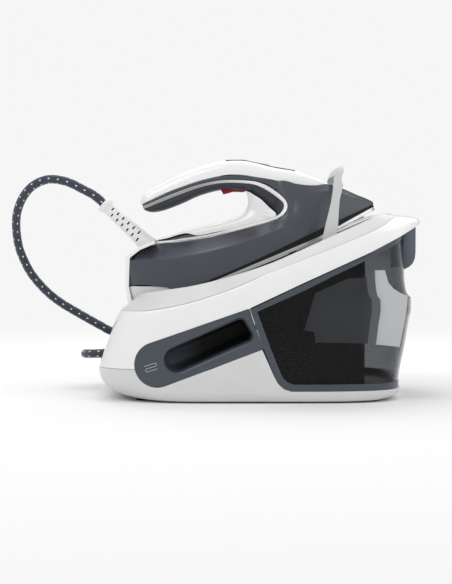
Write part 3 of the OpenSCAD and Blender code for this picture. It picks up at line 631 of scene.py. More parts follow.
# ---------- Deck ----------
# The light grey inner moulding of the cover: a flat bevel that rises from the white band to the
# rim, the deck around the iron and the recess that takes its sole. It snaps into the cover.
DECK_ROWS = 9


def deck_place(i, v):
    row = round(v * DECK_ROWS)
    if row <= 3:
        low, high = Vector(seam_point(i, 0.5, 0.5)), Vector(rim_point(i, -0.6, -0.4))
        return low.lerp(high, row / 3)
    if row == 4:
        return rim_point(i, 1.2, 0)
    edge = Vector(recess_edge(i, 0))
    if row <= 6:
        return Vector(rim_point(i, 2.6, -0.3)).lerp(edge, (0, 1)[row - 5])
    if row == 7:
        return edge.lerp(Vector(recess_bottom(i, 0)), 0.5)
    x, y, z = recess_bottom(i, 0)
    return (x, y, z) if row == 8 else (x, 0.9 * y, z)


deck = net("base_deck", PLAN_COLUMNS, DECK_ROWS, deck_place, ring=True, caps=(1,))
apply_modifier(deck, "SOLIDIFY", thickness=2.4 * MM, offset=-1.0)
cut_top(deck)
cut(deck, prism("catch_seat", [(152.6, 220), (163.4, 220), (163.4, 208.6), (152.6, 210.6)],
                -20.4, 20.4))
soften(deck, 0.5)
dress(deck, light_abs, "base", sharp=30)


# ---------- Cord pocket ----------
# The slate panel with its deep trough for the folded mains cord, moulded as one and snapped in
# from the near side. A small folded cord is embossed on it as a hint.
def skin_form(name, z_from, z_to, end, x_right, grow, rows):
    """The base's outer form between two heights, as a solid to keep or cut with."""
    def place(i, v):
        z = z_from + (z_to - z_from) * v
        tip = x_right(z) if callable(x_right) else x_right
        x, y = squircle(plan_turns[i], end(z) - grow, tip + grow, half + grow)
        return x, y, z
    return net(name, PLAN_COLUMNS, rows, place, ring=True, caps=(0, 1))


def flared_prism(name, circles, stations, scoop=lambda x: 1):
    """A hull outline drawn through stations of (y, grow), such as a trough with a soft lip."""
    rings = [(y, round_hull(circles, grow)) for y, grow in stations]
    rows = len(rings) - 1

    def place(i, v):
        y, outline = rings[round(v * rows)]
        x, z = outline[i % len(outline)]
        return x, -half + (y + half) * (scoop(x) if y > -half else 1), z
    return net(name, len(rings[0][1]), rows, place, ring=True, caps=(0, 1))


slate_abs = moulded("slate_satin_abs", "#414751", 0.34, 0.8, 0.10, mottle=0.08)
panel = skin_form("cord_pocket_panel", 12, 112, end_lean, right, 0.1, 16)
cut(panel, prism("panel_shape", round_hull(pocket_outline, 0), -130, -half + 12),
    way="INTERSECT")
trough = flared_prism("trough_wall", pocket_mouth, [(-half + 6, 3), (-half + pocket_depth, 3),
                                                     (-half + pocket_depth + 3, 0)])
cut(panel, trough, way="UNION")
lip = [(-half - 6, 6.5), (-half - 1.6, 5.2), (-half + 0.6, 2.6), (-half + 3, 0.8), (-half + 7, 0),
       (-half + 40, -1.5), (-half + 48, -4), (-half + pocket_depth, -5.8)]
cut(panel, flared_prism("trough_room", pocket_mouth, lip,
                        lambda x: 0.42 + 0.58 * ease(-106, -78, x)))
soften(panel, 0.6, sharp=50)
# Painted shade: the slate is darkened to near black deep in the trough and towards its right end, so
# that the pocket looks deeper than it is.
slate_with_painted_shade, tree, shader, place = new_material("slate_abs_painted_trough_shade", Roughness=0.36)
split = put(tree, "SeparateXYZ", {0: place})
inwards = put(tree, "MapRange", {0: split.outputs[1], 1: -0.1165, 2: -0.098, 3: 0.0, 4: 1.0})
rightwards = put(tree, "MapRange", {0: split.outputs[0], 1: -0.108, 2: -0.066, 3: 0.1, 4: 1.0})
# The mask of painted shade: full deep in the trough and at its right end, fading towards the mouth and
# the left.
painted_shade_mask = put(tree, "Math", {0: inwards.outputs[0], 1: rightwards.outputs[0]}, operation="MULTIPLY")
cloud = put(tree, "TexNoise", {"Vector": place, "Scale": 22.0, "Detail": 2.0})
slate_tint = put(tree, "Mix", {0: cloud.outputs[0], 6: colour("#3F444E"), 7: colour("#454B55")},
                 data_type="RGBA")
painted_shade_tint = put(tree, "Mix", {0: painted_shade_mask.outputs[0], 6: slate_tint.outputs[2], 7: colour("#060607")},
                data_type="RGBA")
grain = put(tree, "TexNoise", {"Vector": place, "Scale": 1250.0, "Detail": 3.0})
relief = put(tree, "Bump", {"Height": grain.outputs[0], "Strength": 0.1, "Distance": 0.0003})
rougher = put(tree, "MapRange", {0: painted_shade_mask.outputs[0], 1: 0.0, 2: 1.0, 3: 0.34, 4: 0.7})
tree.links.new(painted_shade_tint.outputs[2], shader.inputs["Base Color"])
tree.links.new(rougher.outputs[0], shader.inputs["Roughness"])
tree.links.new(relief.outputs[0], shader.inputs["Normal"])
dress(panel, slate_with_painted_shade, "base", ["cord_pocket"], sharp=50)


def ribbon(name, points, radius, sides=8):
    """A thin round bead along points that are given in millimetres."""
    return tube(name, [Vector(p) * MM for p in smooth_route(points, 5)], radius * MM, sides)


def near_side(x, z, proud=0.0):
    """The depth of the base's near side at a place of its elevation."""
    reach = -end_lean(z) if x < 0 else right
    fall = (1 - min(abs(x) / reach, 0.999) ** corner_power) ** (1 / corner_power)
    return -(half + 0.1) * fall - proud


hint_lines = [(-7.5, 3.4), (5, 3.4), (7, 1.7), (5, 0), (-5, 0), (-7, -1.7), (-5, -3.4), (6.5, -3.4)]
hint_at, hint_lean = (-124.5, 41), math.radians(18)
hint_points = []
for dx, dz in hint_lines:
    x = hint_at[0] + dx * math.cos(hint_lean) - dz * math.sin(hint_lean)
    z = hint_at[1] + dx * math.sin(hint_lean) + dz * math.cos(hint_lean)
    hint_points.append((x, near_side(x, z, 0.05), z))
hint = ribbon("cord_hint", hint_points, 0.42)
hint_print = moulded("pale_grey_print", "#A9ADB2", 0.5, 0.6, 0.05)
dress(hint, hint_print, "base")


# ---------- Water tank ----------
# A removable tank of smoked clear plastic. Two wings reach along both sides of the boiler
# housing; a slate frame is clipped around the window and a grip sits on its front end.
tank_end = smooth_line([(0, 162), (14, 162.6), (24, 163.4), (40, 166), (61, 170.4), (94, 176),
                        (104, 178.2), (117, 178.2), (122, 173.6), (130, 171.2), (150, 169.6),
                        (195, 166), (215, 165.6)])
tank_line = [(-12.5, 106.6), (3, 62), (15.4, 31.4), (20, 23), (26.4, 17.2), (34, 14.3), (200, 14.3),
             (200, 212), (171, 196.2), (125, 170.4), (48, 135.4)]
window_line = [(-4.6, 104.4), (11, 62), (21.4, 36), (25, 29), (30, 24.4), (37, 22), (240, 22),
               (240, 225), (172, 191), (158, 182), (125, 165), (86, 147), (48, 128)]
house_gate = (-100, 117)
wing_in = 83
wall = 2.5


def grown(line, grow):
    """An outline whose corners are moved outwards; it runs round either way."""
    spots = [Vector(p) for p in line]
    area = sum(a.x * b.y - b.x * a.y for a, b in zip(spots, spots[1:] + spots[:1]))
    way = 1 if area > 0 else -1
    moved = []
    for k, spot in enumerate(spots):
        before = (spot - spots[k - 1]).normalized()
        after = (spots[(k + 1) % len(spots)] - spot).normalized()
        out_a, out_b = Vector((before.y, -before.x)) * way, Vector((after.y, -after.x)) * way
        bisector = (out_a + out_b).normalized()
        moved.append(tuple(spot + bisector * grow / max(bisector.dot(out_a), 0.4)))
    return moved


def tank_form(name, grow, inner_wall):
    """The tank's outer form, grown or shrunk, with the room for the boiler housing cut out."""
    form = skin_form(name, 8, 214, lambda z: left, tank_end, grow, 60)
    cut(form, prism("tank_sides", grown(tank_line, grow), -200, 200), way="INTERSECT")
    return cut(form, block("house_room", (house_gate[0], -wing_in - inner_wall, -20),
                           (house_gate[1] + inner_wall, wing_in + inner_wall, 260)))


clear = tank_form("smoked_tank", -0.3, 0)
cut(clear, tank_form("tank_room", -0.3 - wall, wall))
filler_x, filler_r = 147, 15
bpy.ops.object.select_all(action="DESELECT")
bpy.ops.mesh.primitive_cylinder_add(vertices=48, radius=filler_r * MM, depth=0.1,
                                    location=(filler_x * MM, 0, 0.19))
filler_hole = bpy.context.object
bpy.ops.object.transform_apply(location=True)
cut(clear, filler_hole)
# Smoked copolyester: clear, with a grey-black tint through the wall and a hard gloss. Its IOR is
# set low, so that the housing and the pale sheet of painted backlight behind the wall aren't bent out
# of place.
smoked, tree, shader, place = new_material("smoked_clear_copolyester", Roughness=0.05, IOR=1.22)
shader.inputs["Transmission Weight"].default_value = 1.0
shader.inputs["Base Color"].default_value = colour("#96989B")
waves = put(tree, "TexNoise", {"Vector": place, "Scale": 14.0, "Detail": 1.0})
relief = put(tree, "Bump", {"Height": waves.outputs[0], "Strength": 0.01, "Distance": 0.001})
tree.links.new(relief.outputs[0], shader.inputs["Normal"])
dress(clear, smoked, "tank", ["water_tank"], sharp=25)

frame_bar = tank_form("tank_frame_bars", 0.2, -0.6)
cut(frame_bar, prism("tank_window", window_line, -200, 200),
    skin_form("frame_inside", 4, 216, lambda z: left, tank_end, -5, 40))
soften(frame_bar, 0.8)
dress(frame_bar, slate_abs, "tank", ["tank_frame"], sharp=40)

# Painted light: a pale sheet just inside the near wall stands for the backdrop light that shows
# through both walls as a paler field.
backlight_patch_line = [(61, 125), (98, 141.5), (124, 143), (125, 151), (140, 151), (144, 137), (150, 130),
               (160, 124), (166, 122), (164, 100), (157, 64), (138, 66), (116, 68), (62, 69),
               (60, 81), (49, 83)]
backlight_patch = prism("tank_painted_backlight_patch", backlight_patch_line, -109, -107.6)
soften(backlight_patch, 0.3)
# A pale, partly see-through sheet: painted backlight, not a part of the tank.
painted_backlight_sheet, tree, shader, place = new_material("pale_sheet_painted_backlight", Roughness=0.35, Alpha=0.7)
shader.inputs["Base Color"].default_value = colour("#CDCFD1")
haze = put(tree, "TexNoise", {"Vector": place, "Scale": 40.0, "Detail": 2.0})
haze_tone = put(tree, "MapRange", {0: haze.outputs[0], 1: 0.3, 2: 0.7, 3: 0.32, 4: 0.4})
tree.links.new(haze_tone.outputs[0], shader.inputs["Roughness"])
dress(backlight_patch, painted_backlight_sheet, "tank")

# The plain level line is printed on the near wall.
level_z = 122
for k, (x0, x1) in enumerate(((131, 149), (152, 164))):
    def level_place(i, v):
        x = x0 + (x1 - x0) * i / 8
        reach = tank_end(level_z)
        y = -(half - 0.3) * (1 - (x / reach) ** corner_power) ** (1 / corner_power)
        return x, y - 0.15, level_z - 0.45 + 0.9 * v
    mark = net("level_line_%d" % k, 8, 1, level_place)
    apply_modifier(mark, "SOLIDIFY", thickness=0.12 * MM, offset=0)
    tidy_mesh(mark)
    dress(mark, hint_print, "tank")

# The grip is slate ABS with a fine diamond grain that keeps wet fingers from slipping.
grip_line = [(183, 201), (183, 170), (182.2, 163), (180, 157.5), (176, 153.5), (170.6, 150.6),
             (167.4, 150), (167, 201)]
grip = prism("tank_grip", grip_line, -44, 44)
cut(grip, prism("finger_room", [(179.6, 194), (179.6, 170), (176, 160), (171, 148),
                                (150, 148), (150, 194)], -41, 41))
soften(grip, 1.6, sharp=50, segments=3)
diamond, tree, shader, place = new_material("slate_abs_diamond_grain", Roughness=0.42)
shader.inputs["Base Color"].default_value = colour("#555C69")
split = put(tree, "SeparateXYZ", {0: place})
diamond_pitch = 2.4 * MM
ridges = []
for way in ("ADD", "SUBTRACT"):
    slant = put(tree, "Math", {0: split.outputs[1], 1: split.outputs[2]}, operation=way).outputs[0]
    slant = put(tree, "Math", {0: slant, 1: split.outputs[0]}, operation=way).outputs[0]
    turned = put(tree, "Math", {0: slant, 1: 2 * math.pi / diamond_pitch}, operation="MULTIPLY")
    ridges.append(put(tree, "Math", {0: turned.outputs[0]}, operation="SINE").outputs[0])
ridge = put(tree, "Math", {0: ridges[0], 1: ridges[1]}, operation="MAXIMUM").outputs[0]
ridge_shade = put(tree, "MapRange", {0: ridge, 1: -0.5, 2: 1.0, 3: 0.0, 4: 1.0}).outputs[0]
grip_tint = put(tree, "Mix", {0: ridge_shade, 6: colour("#474E5A"), 7: colour("#6A7280")},
                data_type="RGBA")
tree.links.new(grip_tint.outputs[2], shader.inputs["Base Color"])
relief = put(tree, "Bump", {"Height": ridge, "Strength": 0.4, "Distance": 0.0004})
tree.links.new(relief.outputs[0], shader.inputs["Normal"])
dress(grip, diamond, "tank", ["tank_grip"], sharp=50)


# ---------- Boiler housing ----------
# A black polypropylene box between the tank's wings. A screen of small dots is printed on its
# sides, and it fades out towards the front.
dotted, tree, shader, place = new_material("black_dotted_screen", Roughness=0.42)
split = put(tree, "SeparateXYZ", {0: place})
dot_pitch = 2.9 * MM
dot_rows = []
for shift in (0.0, 0.5):
    across = put(tree, "Math", {0: split.outputs[0], 1: 1 / dot_pitch, 2: shift},
                 operation="MULTIPLY_ADD")
    upward = put(tree, "Math", {0: split.outputs[2], 1: 1 / (dot_pitch * math.sqrt(3)), 2: shift},
                 operation="MULTIPLY_ADD")
    away = []
    for cell, reach in ((across, 1.0), (upward, math.sqrt(3))):
        part = put(tree, "Math", {0: cell.outputs[0]}, operation="FRACT")
        part = put(tree, "Math", {0: part.outputs[0], 1: 0.5}, operation="SUBTRACT")
        part = put(tree, "Math", {0: part.outputs[0], 1: reach}, operation="MULTIPLY")
        away.append(put(tree, "Math", {0: part.outputs[0], 1: 2.0}, operation="POWER").outputs[0])
    gap = put(tree, "Math", {0: away[0], 1: away[1]}, operation="ADD")
    dot_rows.append(put(tree, "Math", {0: gap.outputs[0]}, operation="SQRT").outputs[0])
nearest = put(tree, "Math", {0: dot_rows[0], 1: dot_rows[1]}, operation="MINIMUM").outputs[0]
dot = put(tree, "MapRange", {0: nearest, 1: 0.24, 2: 0.34, 3: 1.0, 4: 0.0}).outputs[0]
fade = put(tree, "MapRange", {0: split.outputs[0], 1: 0.07, 2: 0.112, 3: 1.0, 4: 0.0}).outputs[0]
shown = put(tree, "Math", {0: dot, 1: fade}, operation="MULTIPLY").outputs[0]
screen = put(tree, "Mix", {0: shown, 6: colour("#131416"), 7: colour("#B4BAC2")}, data_type="RGBA")
tree.links.new(screen.outputs[2], shader.inputs["Base Color"])
relief = put(tree, "Bump", {"Height": shown, "Strength": 0.2, "Distance": 0.0001})
tree.links.new(relief.outputs[0], shader.inputs["Normal"])
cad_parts["boiler_housing"].data.materials.clear()
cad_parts["boiler_housing"].data.materials.append(dotted)


# ---------- Iron body ----------
# The slate hull is one shell: upright sides, then a chamfered flank up to the handle's foot.
# Its upper line, its crease and their half widths are drawn along the sole.
upper_line = smooth_line([(4, 58), (20, 64), (40, 70), (60, 70), (82, 63), (122, 53), (157, 49),
                          (185, 46), (200, 50), (212, 68), (222, 83), (243, 70), (260, 62),
                          (276, 57), (290, 45.4), (303, 32), (312, 23.4), (317.2, 17.6)])
crease_line = smooth_line([(4, 56), (27, 62), (56, 51), (115, 37), (177, 31), (208, 33), (222, 42),
                           (232, 54), (243, 57), (260, 53), (276, 48), (290, 37.5), (303, 26),
                           (317.2, 16.4)])
crease_lean = smooth_line([(4, 0.97), (120, 0.965), (180, 0.96), (205, 0.93), (232, 0.72),
                           (260, 0.70), (290, 0.80), (316, 0.9)])
crest_half = smooth_line([(4, 18.5), (225, 18.5), (245, 17.2), (262, 13.5), (276, 9), (290, 6),
                          (303, 4), (316, 1.2)])
hull_foot = smooth_line([(0, 7), (150, 7.4), (215, 10.2), (270, 12.8), (300, 13.8), (317, 14.6)])


def flank(x, z):
    """The hull's half width at a place of its elevation."""
    top, fold_z = upper_line(x), crease_line(x)
    low, high = sole_half(x) + 2, crest_half(x)
    at_fold = max(low * crease_lean(x), high + 0.3)
    if z <= fold_z:
        foot = hull_foot(x)
        share = min(max((z - foot) / max(fold_z - foot, 1), 0), 1)
        return low + (at_fold - low) * share ** 1.8
    share = min((z - fold_z) / max(top - fold_z, 0.5), 1)
    return at_fold + (high - at_fold) * share ** 0.9


HULL_ROWS = 110
hull_section = ([(0, k / 3) for k in range(3)] + [(1, k / 10) for k in range(10)]
                + [(2, k / 10) for k in range(10)] + [(3, k / 3) for k in range(4)])


def hull_place(i, v):
    x = 5 + 312 * (1 - math.cos(math.pi * (0.08 + 0.92 * v))) / 2
    count = len(hull_section)
    side = 1 if i < count else -1
    zone, share = hull_section[i] if i < count else hull_section[2 * count - 1 - i]
    foot = hull_foot(x)
    top, fold_z = max(upper_line(x), foot + 2), max(crease_line(x), foot + 1)
    if zone == 0:
        return placed(x, side * share * flank(x, foot), foot)
    if zone == 1:
        z = foot + (fold_z - foot) * share
    elif zone == 2:
        z = fold_z + (top - fold_z) * share
    else:
        return placed(x, side * (1 - share) * crest_half(x), top)
    return placed(x, side * flank(x, z), z)


hull = net("iron_hull", 2 * len(hull_section), HULL_ROWS, hull_place, ring=True, caps=(0, 1))


def iron_prism(name, outline, half_width):
    """A side outline in the iron's own frame, drawn out to both sides."""
    return prism(name, [(placed(x, 0, z)[0], placed(x, 0, z)[2]) for x, z in outline],
                 -half_width, half_width)


heel_under = [(-40, 100), (40, 72.5), (38.5, 70.4), (25.6, 66.6), (12.4, 36.8), (18, 35.5),
              (30, 30.5), (42, 24), (50, 19.6), (54, 17), (58, 13), (62.5, 6), (62.5, -20),
              (-40, -20)]
loop_out = [(60, 118.6), (94, 118.9), (126, 117.6), (150, 113.6), (169, 107.6), (193, 96),
            (205.5, 86.5), (214.6, 74.3), (221, 60), (220.6, 50.6), (214.4, 44.5), (205, 42),
            (190, 43.2), (157, 47.6), (122, 52.6), (82, 62.6), (60, 69.6)]
cut(hull, iron_prism("heel_cut", heel_under, 90))
cut(hull, iron_prism("loop_cut", loop_out, 90))
soften(hull, 0.7, sharp=48)
slate_body = moulded("slate_satin_body", "#42474F", 0.30, 0.7, 0.07, coat=0.15, mottle=0.06)
dress(hull, slate_body, "iron", ["iron_body"], sharp=28)


# ---------- Handle ----------
# Five mouldings are stacked along the handle: the white cap, a slate spine, a silver band that
# runs on round the opening and back along the body, the soft grip, and the white lining.
def sleeve(name, pairs, section, width, steps=5):
    """A closed moulding between two side lines. Each pair joins the outer line to the inner."""
    outer = smooth_route([(a[0], 0, a[1]) for a, b in pairs], steps)
    inner = smooth_route([(b[0], 0, b[1]) for a, b in pairs], steps)
    rows = len(outer) - 1

    def place(i, v):
        row = round(v * rows)
        share, side = section[i % len(section)]
        spot = Vector(outer[row]).lerp(Vector(inner[row]), share)
        return placed(spot.x, side * width(spot.x, spot.z), spot.z)
    return net(name, len(section), rows, place, ring=True, caps=(0, 1))


def superellipse(power, count):
    """A ring of (share from the outer line, side) that is rounder as its power falls."""
    ring = []
    for k in range(count):
        turn = 2 * math.pi * (k + 0.5) / count
        c, s = math.cos(turn), math.sin(turn)
        ring.append((0.5 - 0.5 * math.copysign(abs(c) ** (2 / power), c),
                     math.copysign(abs(s) ** (2 / power), s)))
    return ring


def crown(power, count, flip=False):
    """A ring that is round over one line and flat across the other."""
    ring = []
    for k in range(count + 1):
        turn = math.pi * (k / count - 0.5)
        ring.append((1 - math.cos(turn) ** (2 / power),
                     math.copysign(abs(math.sin(turn)) ** (2 / power), math.sin(turn))))
    ring += [(1, 0.5), (1, -0.5)]
    return [(1 - share, side) for share, side in ring] if flip else ring


def girth(least, proud=0.0):
    return lambda x, z: max(least, (flank(x, z) if z < upper_line(x) else 0) + proud)


cap_pairs = [((59, 121.6), (60, 120.4)), ((60.6, 126), (62, 120.4)), ((65, 129.6), (67, 120.7)),
             ((74, 133), (77, 121.4)), ((91, 134.9), (92, 121.9)), ((113, 136.1), (113, 121.4)),
             ((134, 136.2), (134, 120)), ((154, 134.6), (151, 117.4)), ((173, 131), (168, 113.7)),
             ((193, 123.2), (184, 107)), ((206, 114.6), (198, 98.6)), ((221, 103.4), (213, 89.4)),
             ((233, 95.6), (225, 81.6)), ((245, 88), (238, 73.4)), ((259, 75.5), (254, 64.3)),
             ((269, 65.3), (267, 59.2)), ((277, 56.8), (276, 56.2))]
cap = sleeve("handle_cap_moulding", cap_pairs, crown(2.7, 26),
             lambda x, z: min(16.6, crest_half(x) - 0.4) * (0.5 + 0.5 * ease(57, 70, x)))
white_cap = moulded("white_gloss_cap", "#F1F1F0", 0.16, 1.2, 0.03, coat=0.5, mottle=0.02)
dress(cap, white_cap, "iron", ["handle_cap"], sharp=45)

spine_pairs = [((60.5, 120), (61, 117.4)), ((67, 120.2), (67, 117.6)), ((92, 121.4), (92, 117.8)),
               ((113, 120.9), (113, 117.4)), ((134, 119.5), (132, 116)), ((151, 116.9), (149, 113)),
               ((168, 113.2), (166, 108.2)), ((184, 106.5), (181, 101.4)), ((198, 98), (194, 95)),
               ((207, 92.8), (205.5, 86.4)), ((214, 88.3), (214.4, 74.6)),
               ((223, 82.3), (221, 61)), ((231, 77), (229, 60))]
spine = sleeve("handle_spine", spine_pairs, superellipse(6, 28),
               lambda x, z: 16.7 + 1.6 * ease(188, 214, x))
dark_soft = moulded("dark_soft_grip", "#33363D", 0.48, 0.5, 0.16, specular=0.4, mottle=0.10)
dress(spine, slate_body, "iron", sharp=45)

band_out = [(60, 118), (94, 118.3), (126, 117), (150, 113), (169, 107), (193, 95.5), (205, 86),
            (214, 74), (220.4, 60), (220, 51), (214, 45), (205, 42.6), (190, 43.8), (157, 48.2),
            (122, 53.2), (82, 63.2), (60, 70.2)]
band_in = [(60.8, 113.4), (93, 113), (124.4, 112), (148, 109), (166.5, 103.5), (189.4, 92.4),
           (200, 83.4), (208.8, 71.4), (215.4, 59), (215, 53.2), (210.6, 49), (203.6, 46.4),
           (190, 47), (157.6, 51.2), (122.6, 56), (82.6, 65.8), (60.4, 72.6)]
band = sleeve("handle_band", list(zip(band_out, band_in)), superellipse(7, 28), girth(17.3, 0.5))
# The band is lacquered silver over the handle, and its lacquer pales to white round the front.
silver_band, tree, shader, place = new_material("silver_to_white_lacquer", Roughness=0.28)
split = put(tree, "SeparateXYZ", {0: place})
along = put(tree, "Math", {0: split.outputs[0], 1: tilt_c}, operation="MULTIPLY")
along = put(tree, "Math", {0: split.outputs[2], 1: tilt_s, 2: along.outputs[0]},
            operation="MULTIPLY_ADD").outputs[0]
rise = put(tree, "Math", {0: split.outputs[0], 1: -tilt_s}, operation="MULTIPLY")
rise = put(tree, "Math", {0: split.outputs[2], 1: tilt_c, 2: rise.outputs[0]},
           operation="MULTIPLY_ADD").outputs[0]
along_zero = (iron_at[0] * tilt_c + iron_at[1] * tilt_s) * MM
rise_zero = (-iron_at[0] * tilt_s + iron_at[1] * tilt_c) * MM
forward = put(tree, "MapRange", {0: along, 1: along_zero + 0.135, 2: along_zero + 0.195, 3: 0.0,
                                 4: 1.0}).outputs[0]
lower = put(tree, "MapRange", {0: rise, 1: rise_zero + 0.078, 2: rise_zero + 0.09, 3: 1.0,
                               4: 0.0}).outputs[0]
pale = put(tree, "Math", {0: forward, 1: lower}, operation="MAXIMUM").outputs[0]
band_tint = put(tree, "Mix", {0: pale, 6: colour("#A3A6A5"), 7: colour("#F2F2F1")},
                data_type="RGBA")
flake = put(tree, "TexNoise", {"Vector": place, "Scale": 1800.0, "Detail": 1.0})
flake_tone = put(tree, "MapRange", {0: flake.outputs[0], 1: 0.35, 2: 0.65, 3: 0.9, 4: 1.0})
band_mix = put(tree, "Mix", {0: 1.0, 6: band_tint.outputs[2], 7: flake_tone.outputs[0]},
               data_type="RGBA", blend_type="MULTIPLY")
tree.links.new(band_mix.outputs[2], shader.inputs["Base Color"])
metal_share = put(tree, "MapRange", {0: pale, 1: 0.0, 2: 1.0, 3: 0.55, 4: 0.0})
tree.links.new(metal_share.outputs[0], shader.inputs["Metallic"])
dress(band, silver_band, "iron", ["handle_trim", "body_trim"], sharp=45)

grip_pairs = [((60.6, 113.8), (61.2, 112.2)), ((64, 113.3), (64.6, 108.8)),
              ((70, 113.3), (71, 105.9)), ((82, 113.2), (83, 103.6)), ((103, 112.9), (103, 102.9)),
              ((124.4, 112), (127, 103.6)), ((148, 109), (149, 101.2)), ((163, 105), (161, 97.6)),
              ((178, 98.6), (172.6, 91.6)), ((189.4, 92.4), (181, 87.6)), ((200, 83.4), (187, 80.8)),
              ((208.8, 71.4), (193.6, 71.8)), ((215.4, 59), (198.6, 60)),
              ((215, 53.2), (201.6, 52.4)), ((210.6, 49), (203.4, 47.6)),
              ((205.6, 46.9), (203.8, 46.4))]
soft_grip = sleeve("handle_soft_grip", grip_pairs, crown(3.0, 26, flip=True), girth(16.7))
cut(soft_grip, iron_prism("trigger_way", [(155, 90), (155, 101.5), (180, 97), (187.5, 92.5),
                                          (187.5, 85), (175, 84)], 7.6))
dress(soft_grip, dark_soft, "iron", ["handle_grip"], sharp=45)

lining_pairs = [((179.6, 88.6), (184.4, 84.6)), ((180.8, 83), (188.4, 79)),
                ((180, 77.4), (193.8, 71.4)), ((177.4, 71.8), (198.8, 60)),
                ((173.4, 67.4), (203.4, 47.2)), ((166, 64), (190, 47)), ((156, 63), (172, 49.2)),
                ((136, 65), (146, 52.8)), ((120, 68.4), (126, 56.6)), ((104, 70.8), (108, 60.4)),
                ((95, 71.8), (97, 67.8)), ((84, 72.6), (85, 70.2)),
                ((73, 73.4), (74, 71.2)), ((62, 75.6), (62.6, 73.4))]
lining = sleeve("opening_lining", lining_pairs, crown(3.2, 26), girth(16.9, 0.1))
dress(lining, white_cap, "iron", ["inner_saddle"], sharp=45)

# The tail under the lining is slate, flanks and top alike.
tail_pairs = [((60, 74), (60.4, 71.6)), ((66, 73), (67, 69.8)), ((73, 71.6), (76, 67)),
              ((84, 70.6), (88, 64.6)), ((100, 69), (104, 60.4)), ((120, 67.4), (124, 56)),
              ((140, 63.4), (146, 52.8)), ((156, 60.4), (160, 51.2))]
tail = sleeve("body_tail", tail_pairs, crown(2.6, 22), girth(16.2, -0.3))
dress(tail, slate_body, "iron", sharp=45)


# ---------- Heel and sole ----------
# A white plate closes the iron's heel over a light grey skirt. Below the body lie a dark
# phenolic heat shield and the polished steel sole.
def own_copy(node, width, sharp=38, segments=2, aside=0):
    """A merged copy of a CAD solid with its edges softened, set aside by some millimetres."""
    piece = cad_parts[node].copy()
    piece.data = piece.data.copy()
    piece.parent = None
    piece.name = node + "_finished"
    bpy.context.scene.collection.objects.link(piece)
    tidy_mesh(piece)
    for vertex in piece.data.vertices:
        vertex.co.x += aside * MM
    activate(piece)
    bpy.ops.object.mode_set(mode="EDIT")
    bpy.ops.mesh.select_all(action="SELECT")
    bpy.ops.mesh.dissolve_limited(angle_limit=math.radians(0.5))
    bpy.ops.object.mode_set(mode="OBJECT")
    return soften(piece, width, sharp=sharp, segments=segments)


def metal(name, code, roughness, scratch, stretch=(1.0, 1.0, 1.0), bump=0.08):
    """A metal with fine working marks drawn out along the directions of a small stretch."""
    material, tree, shader, place = new_material(name, Metallic=1.0)
    spread = put(tree, "Mapping", {0: place, 3: stretch})
    marks = put(tree, "TexNoise", {"Vector": spread.outputs[0], "Scale": scratch, "Detail": 4.0})
    wear = put(tree, "TexNoise", {"Vector": place, "Scale": 30.0, "Detail": 3.0})
    tone = put(tree, "MapRange", {0: wear.outputs[0], 1: 0.3, 2: 0.7, 3: 0.86, 4: 1.0})
    tint = put(tree, "Mix", {0: 1.0, 6: colour(code), 7: tone.outputs[0]}, data_type="RGBA",
               blend_type="MULTIPLY")
    rough = put(tree, "MapRange", {0: marks.outputs[0], 1: 0.3, 2: 0.7, 3: roughness - 0.05,
                                   4: roughness + 0.1})
    relief = put(tree, "Bump", {"Height": marks.outputs[0], "Strength": bump,
                                "Distance": 0.0002})
    tree.links.new(tint.outputs[2], shader.inputs["Base Color"])
    tree.links.new(rough.outputs[0], shader.inputs["Roughness"])
    tree.links.new(relief.outputs[0], shader.inputs["Normal"])
    return material


heel_plate = own_copy("heel_cover", 1.0, segments=3)
dress(heel_plate, white_cap, "iron", ["heel_cover"])
dress(own_copy("heel_skirt", 0.6), light_abs, "iron", ["heel_skirt"])
sole_steel = metal("polished_sole_steel", "#C9CACC", 0.16, 260, (0.05, 1.0, 1.0))
tip_rise, bow_from, bow_to = 8.0, 225, 335


def bow(x):
    """How far the sole's nose rises above its flat part."""
    return tip_rise * ease(bow_from, bow_to, x)


sole = own_copy("soleplate", 0.8, segments=3)
for vertex in sole.data.vertices:
    dx, dz = vertex.co.x / MM - iron_at[0], vertex.co.z / MM - iron_at[1]
    vertex.co += Vector((-tilt_s, 0, tilt_c)) * bow(dx * tilt_c + dz * tilt_s) * MM
dress(sole, sole_steel, "iron", ["soleplate"])
shield_rows, shield_low = 60, 4.1


def shield_place(i, v):
    x = 16 + 300.4 * (1 - math.cos(math.pi * v)) / 2
    side, low = ((0, 1), (-1, 1), (-1, 0), (0, 0), (1, 0), (1, 1), (0, 1))[i]
    z = shield_low + bow(x) if low else hull_foot(x) + 0.6
    return placed(x, side * max(sole_half(x) + 0.4, 0.5), z)


shield = net("heat_shield_skirt", 6, shield_rows, shield_place, ring=True, caps=(0, 1))
phenolic = moulded("black_phenolic_shield", "#0E0F10", 0.5, 0.8, 0.15, specular=0.3)
dress(shield, phenolic, "iron", ["heat_shield"])


# ---------- Cord cuff ----------
# A white elastomer sleeve that stiffens the hose where it leaves the heel. Two staggered rows
# of slots on each side let it flex.
cuff_lean = math.radians(24.8) + iron_tilt
cuff_foot = Vector(placed(46, 0, 77.6))
cuff_axis = Vector((-math.sin(cuff_lean), 0, math.cos(cuff_lean)))
cuff_up = Vector((math.cos(cuff_lean), 0, math.sin(cuff_lean)))
cuff_girth = smooth_line([(-9, 11.4), (-2, 10.6), (4, 9.9), (16, 9.0), (34, 8.2), (52, 7.6),
                          (58, 7.5), (60.5, 8.3), (63, 9.1), (66, 9.3), (68.2, 8.6)])


def cuff_spot(turn, reach, along):
    radial = cuff_up * math.cos(turn) + Vector((0, -1, 0)) * math.sin(turn)
    return cuff_foot + cuff_axis * along + radial * reach


CUFF_COLUMNS = 64
cuff_low, cuff_len = -9, 77.2


def cuff_place(i, v):
    along = cuff_low + cuff_len * v
    return cuff_spot(2 * math.pi * i / CUFF_COLUMNS, cuff_girth(along), along)


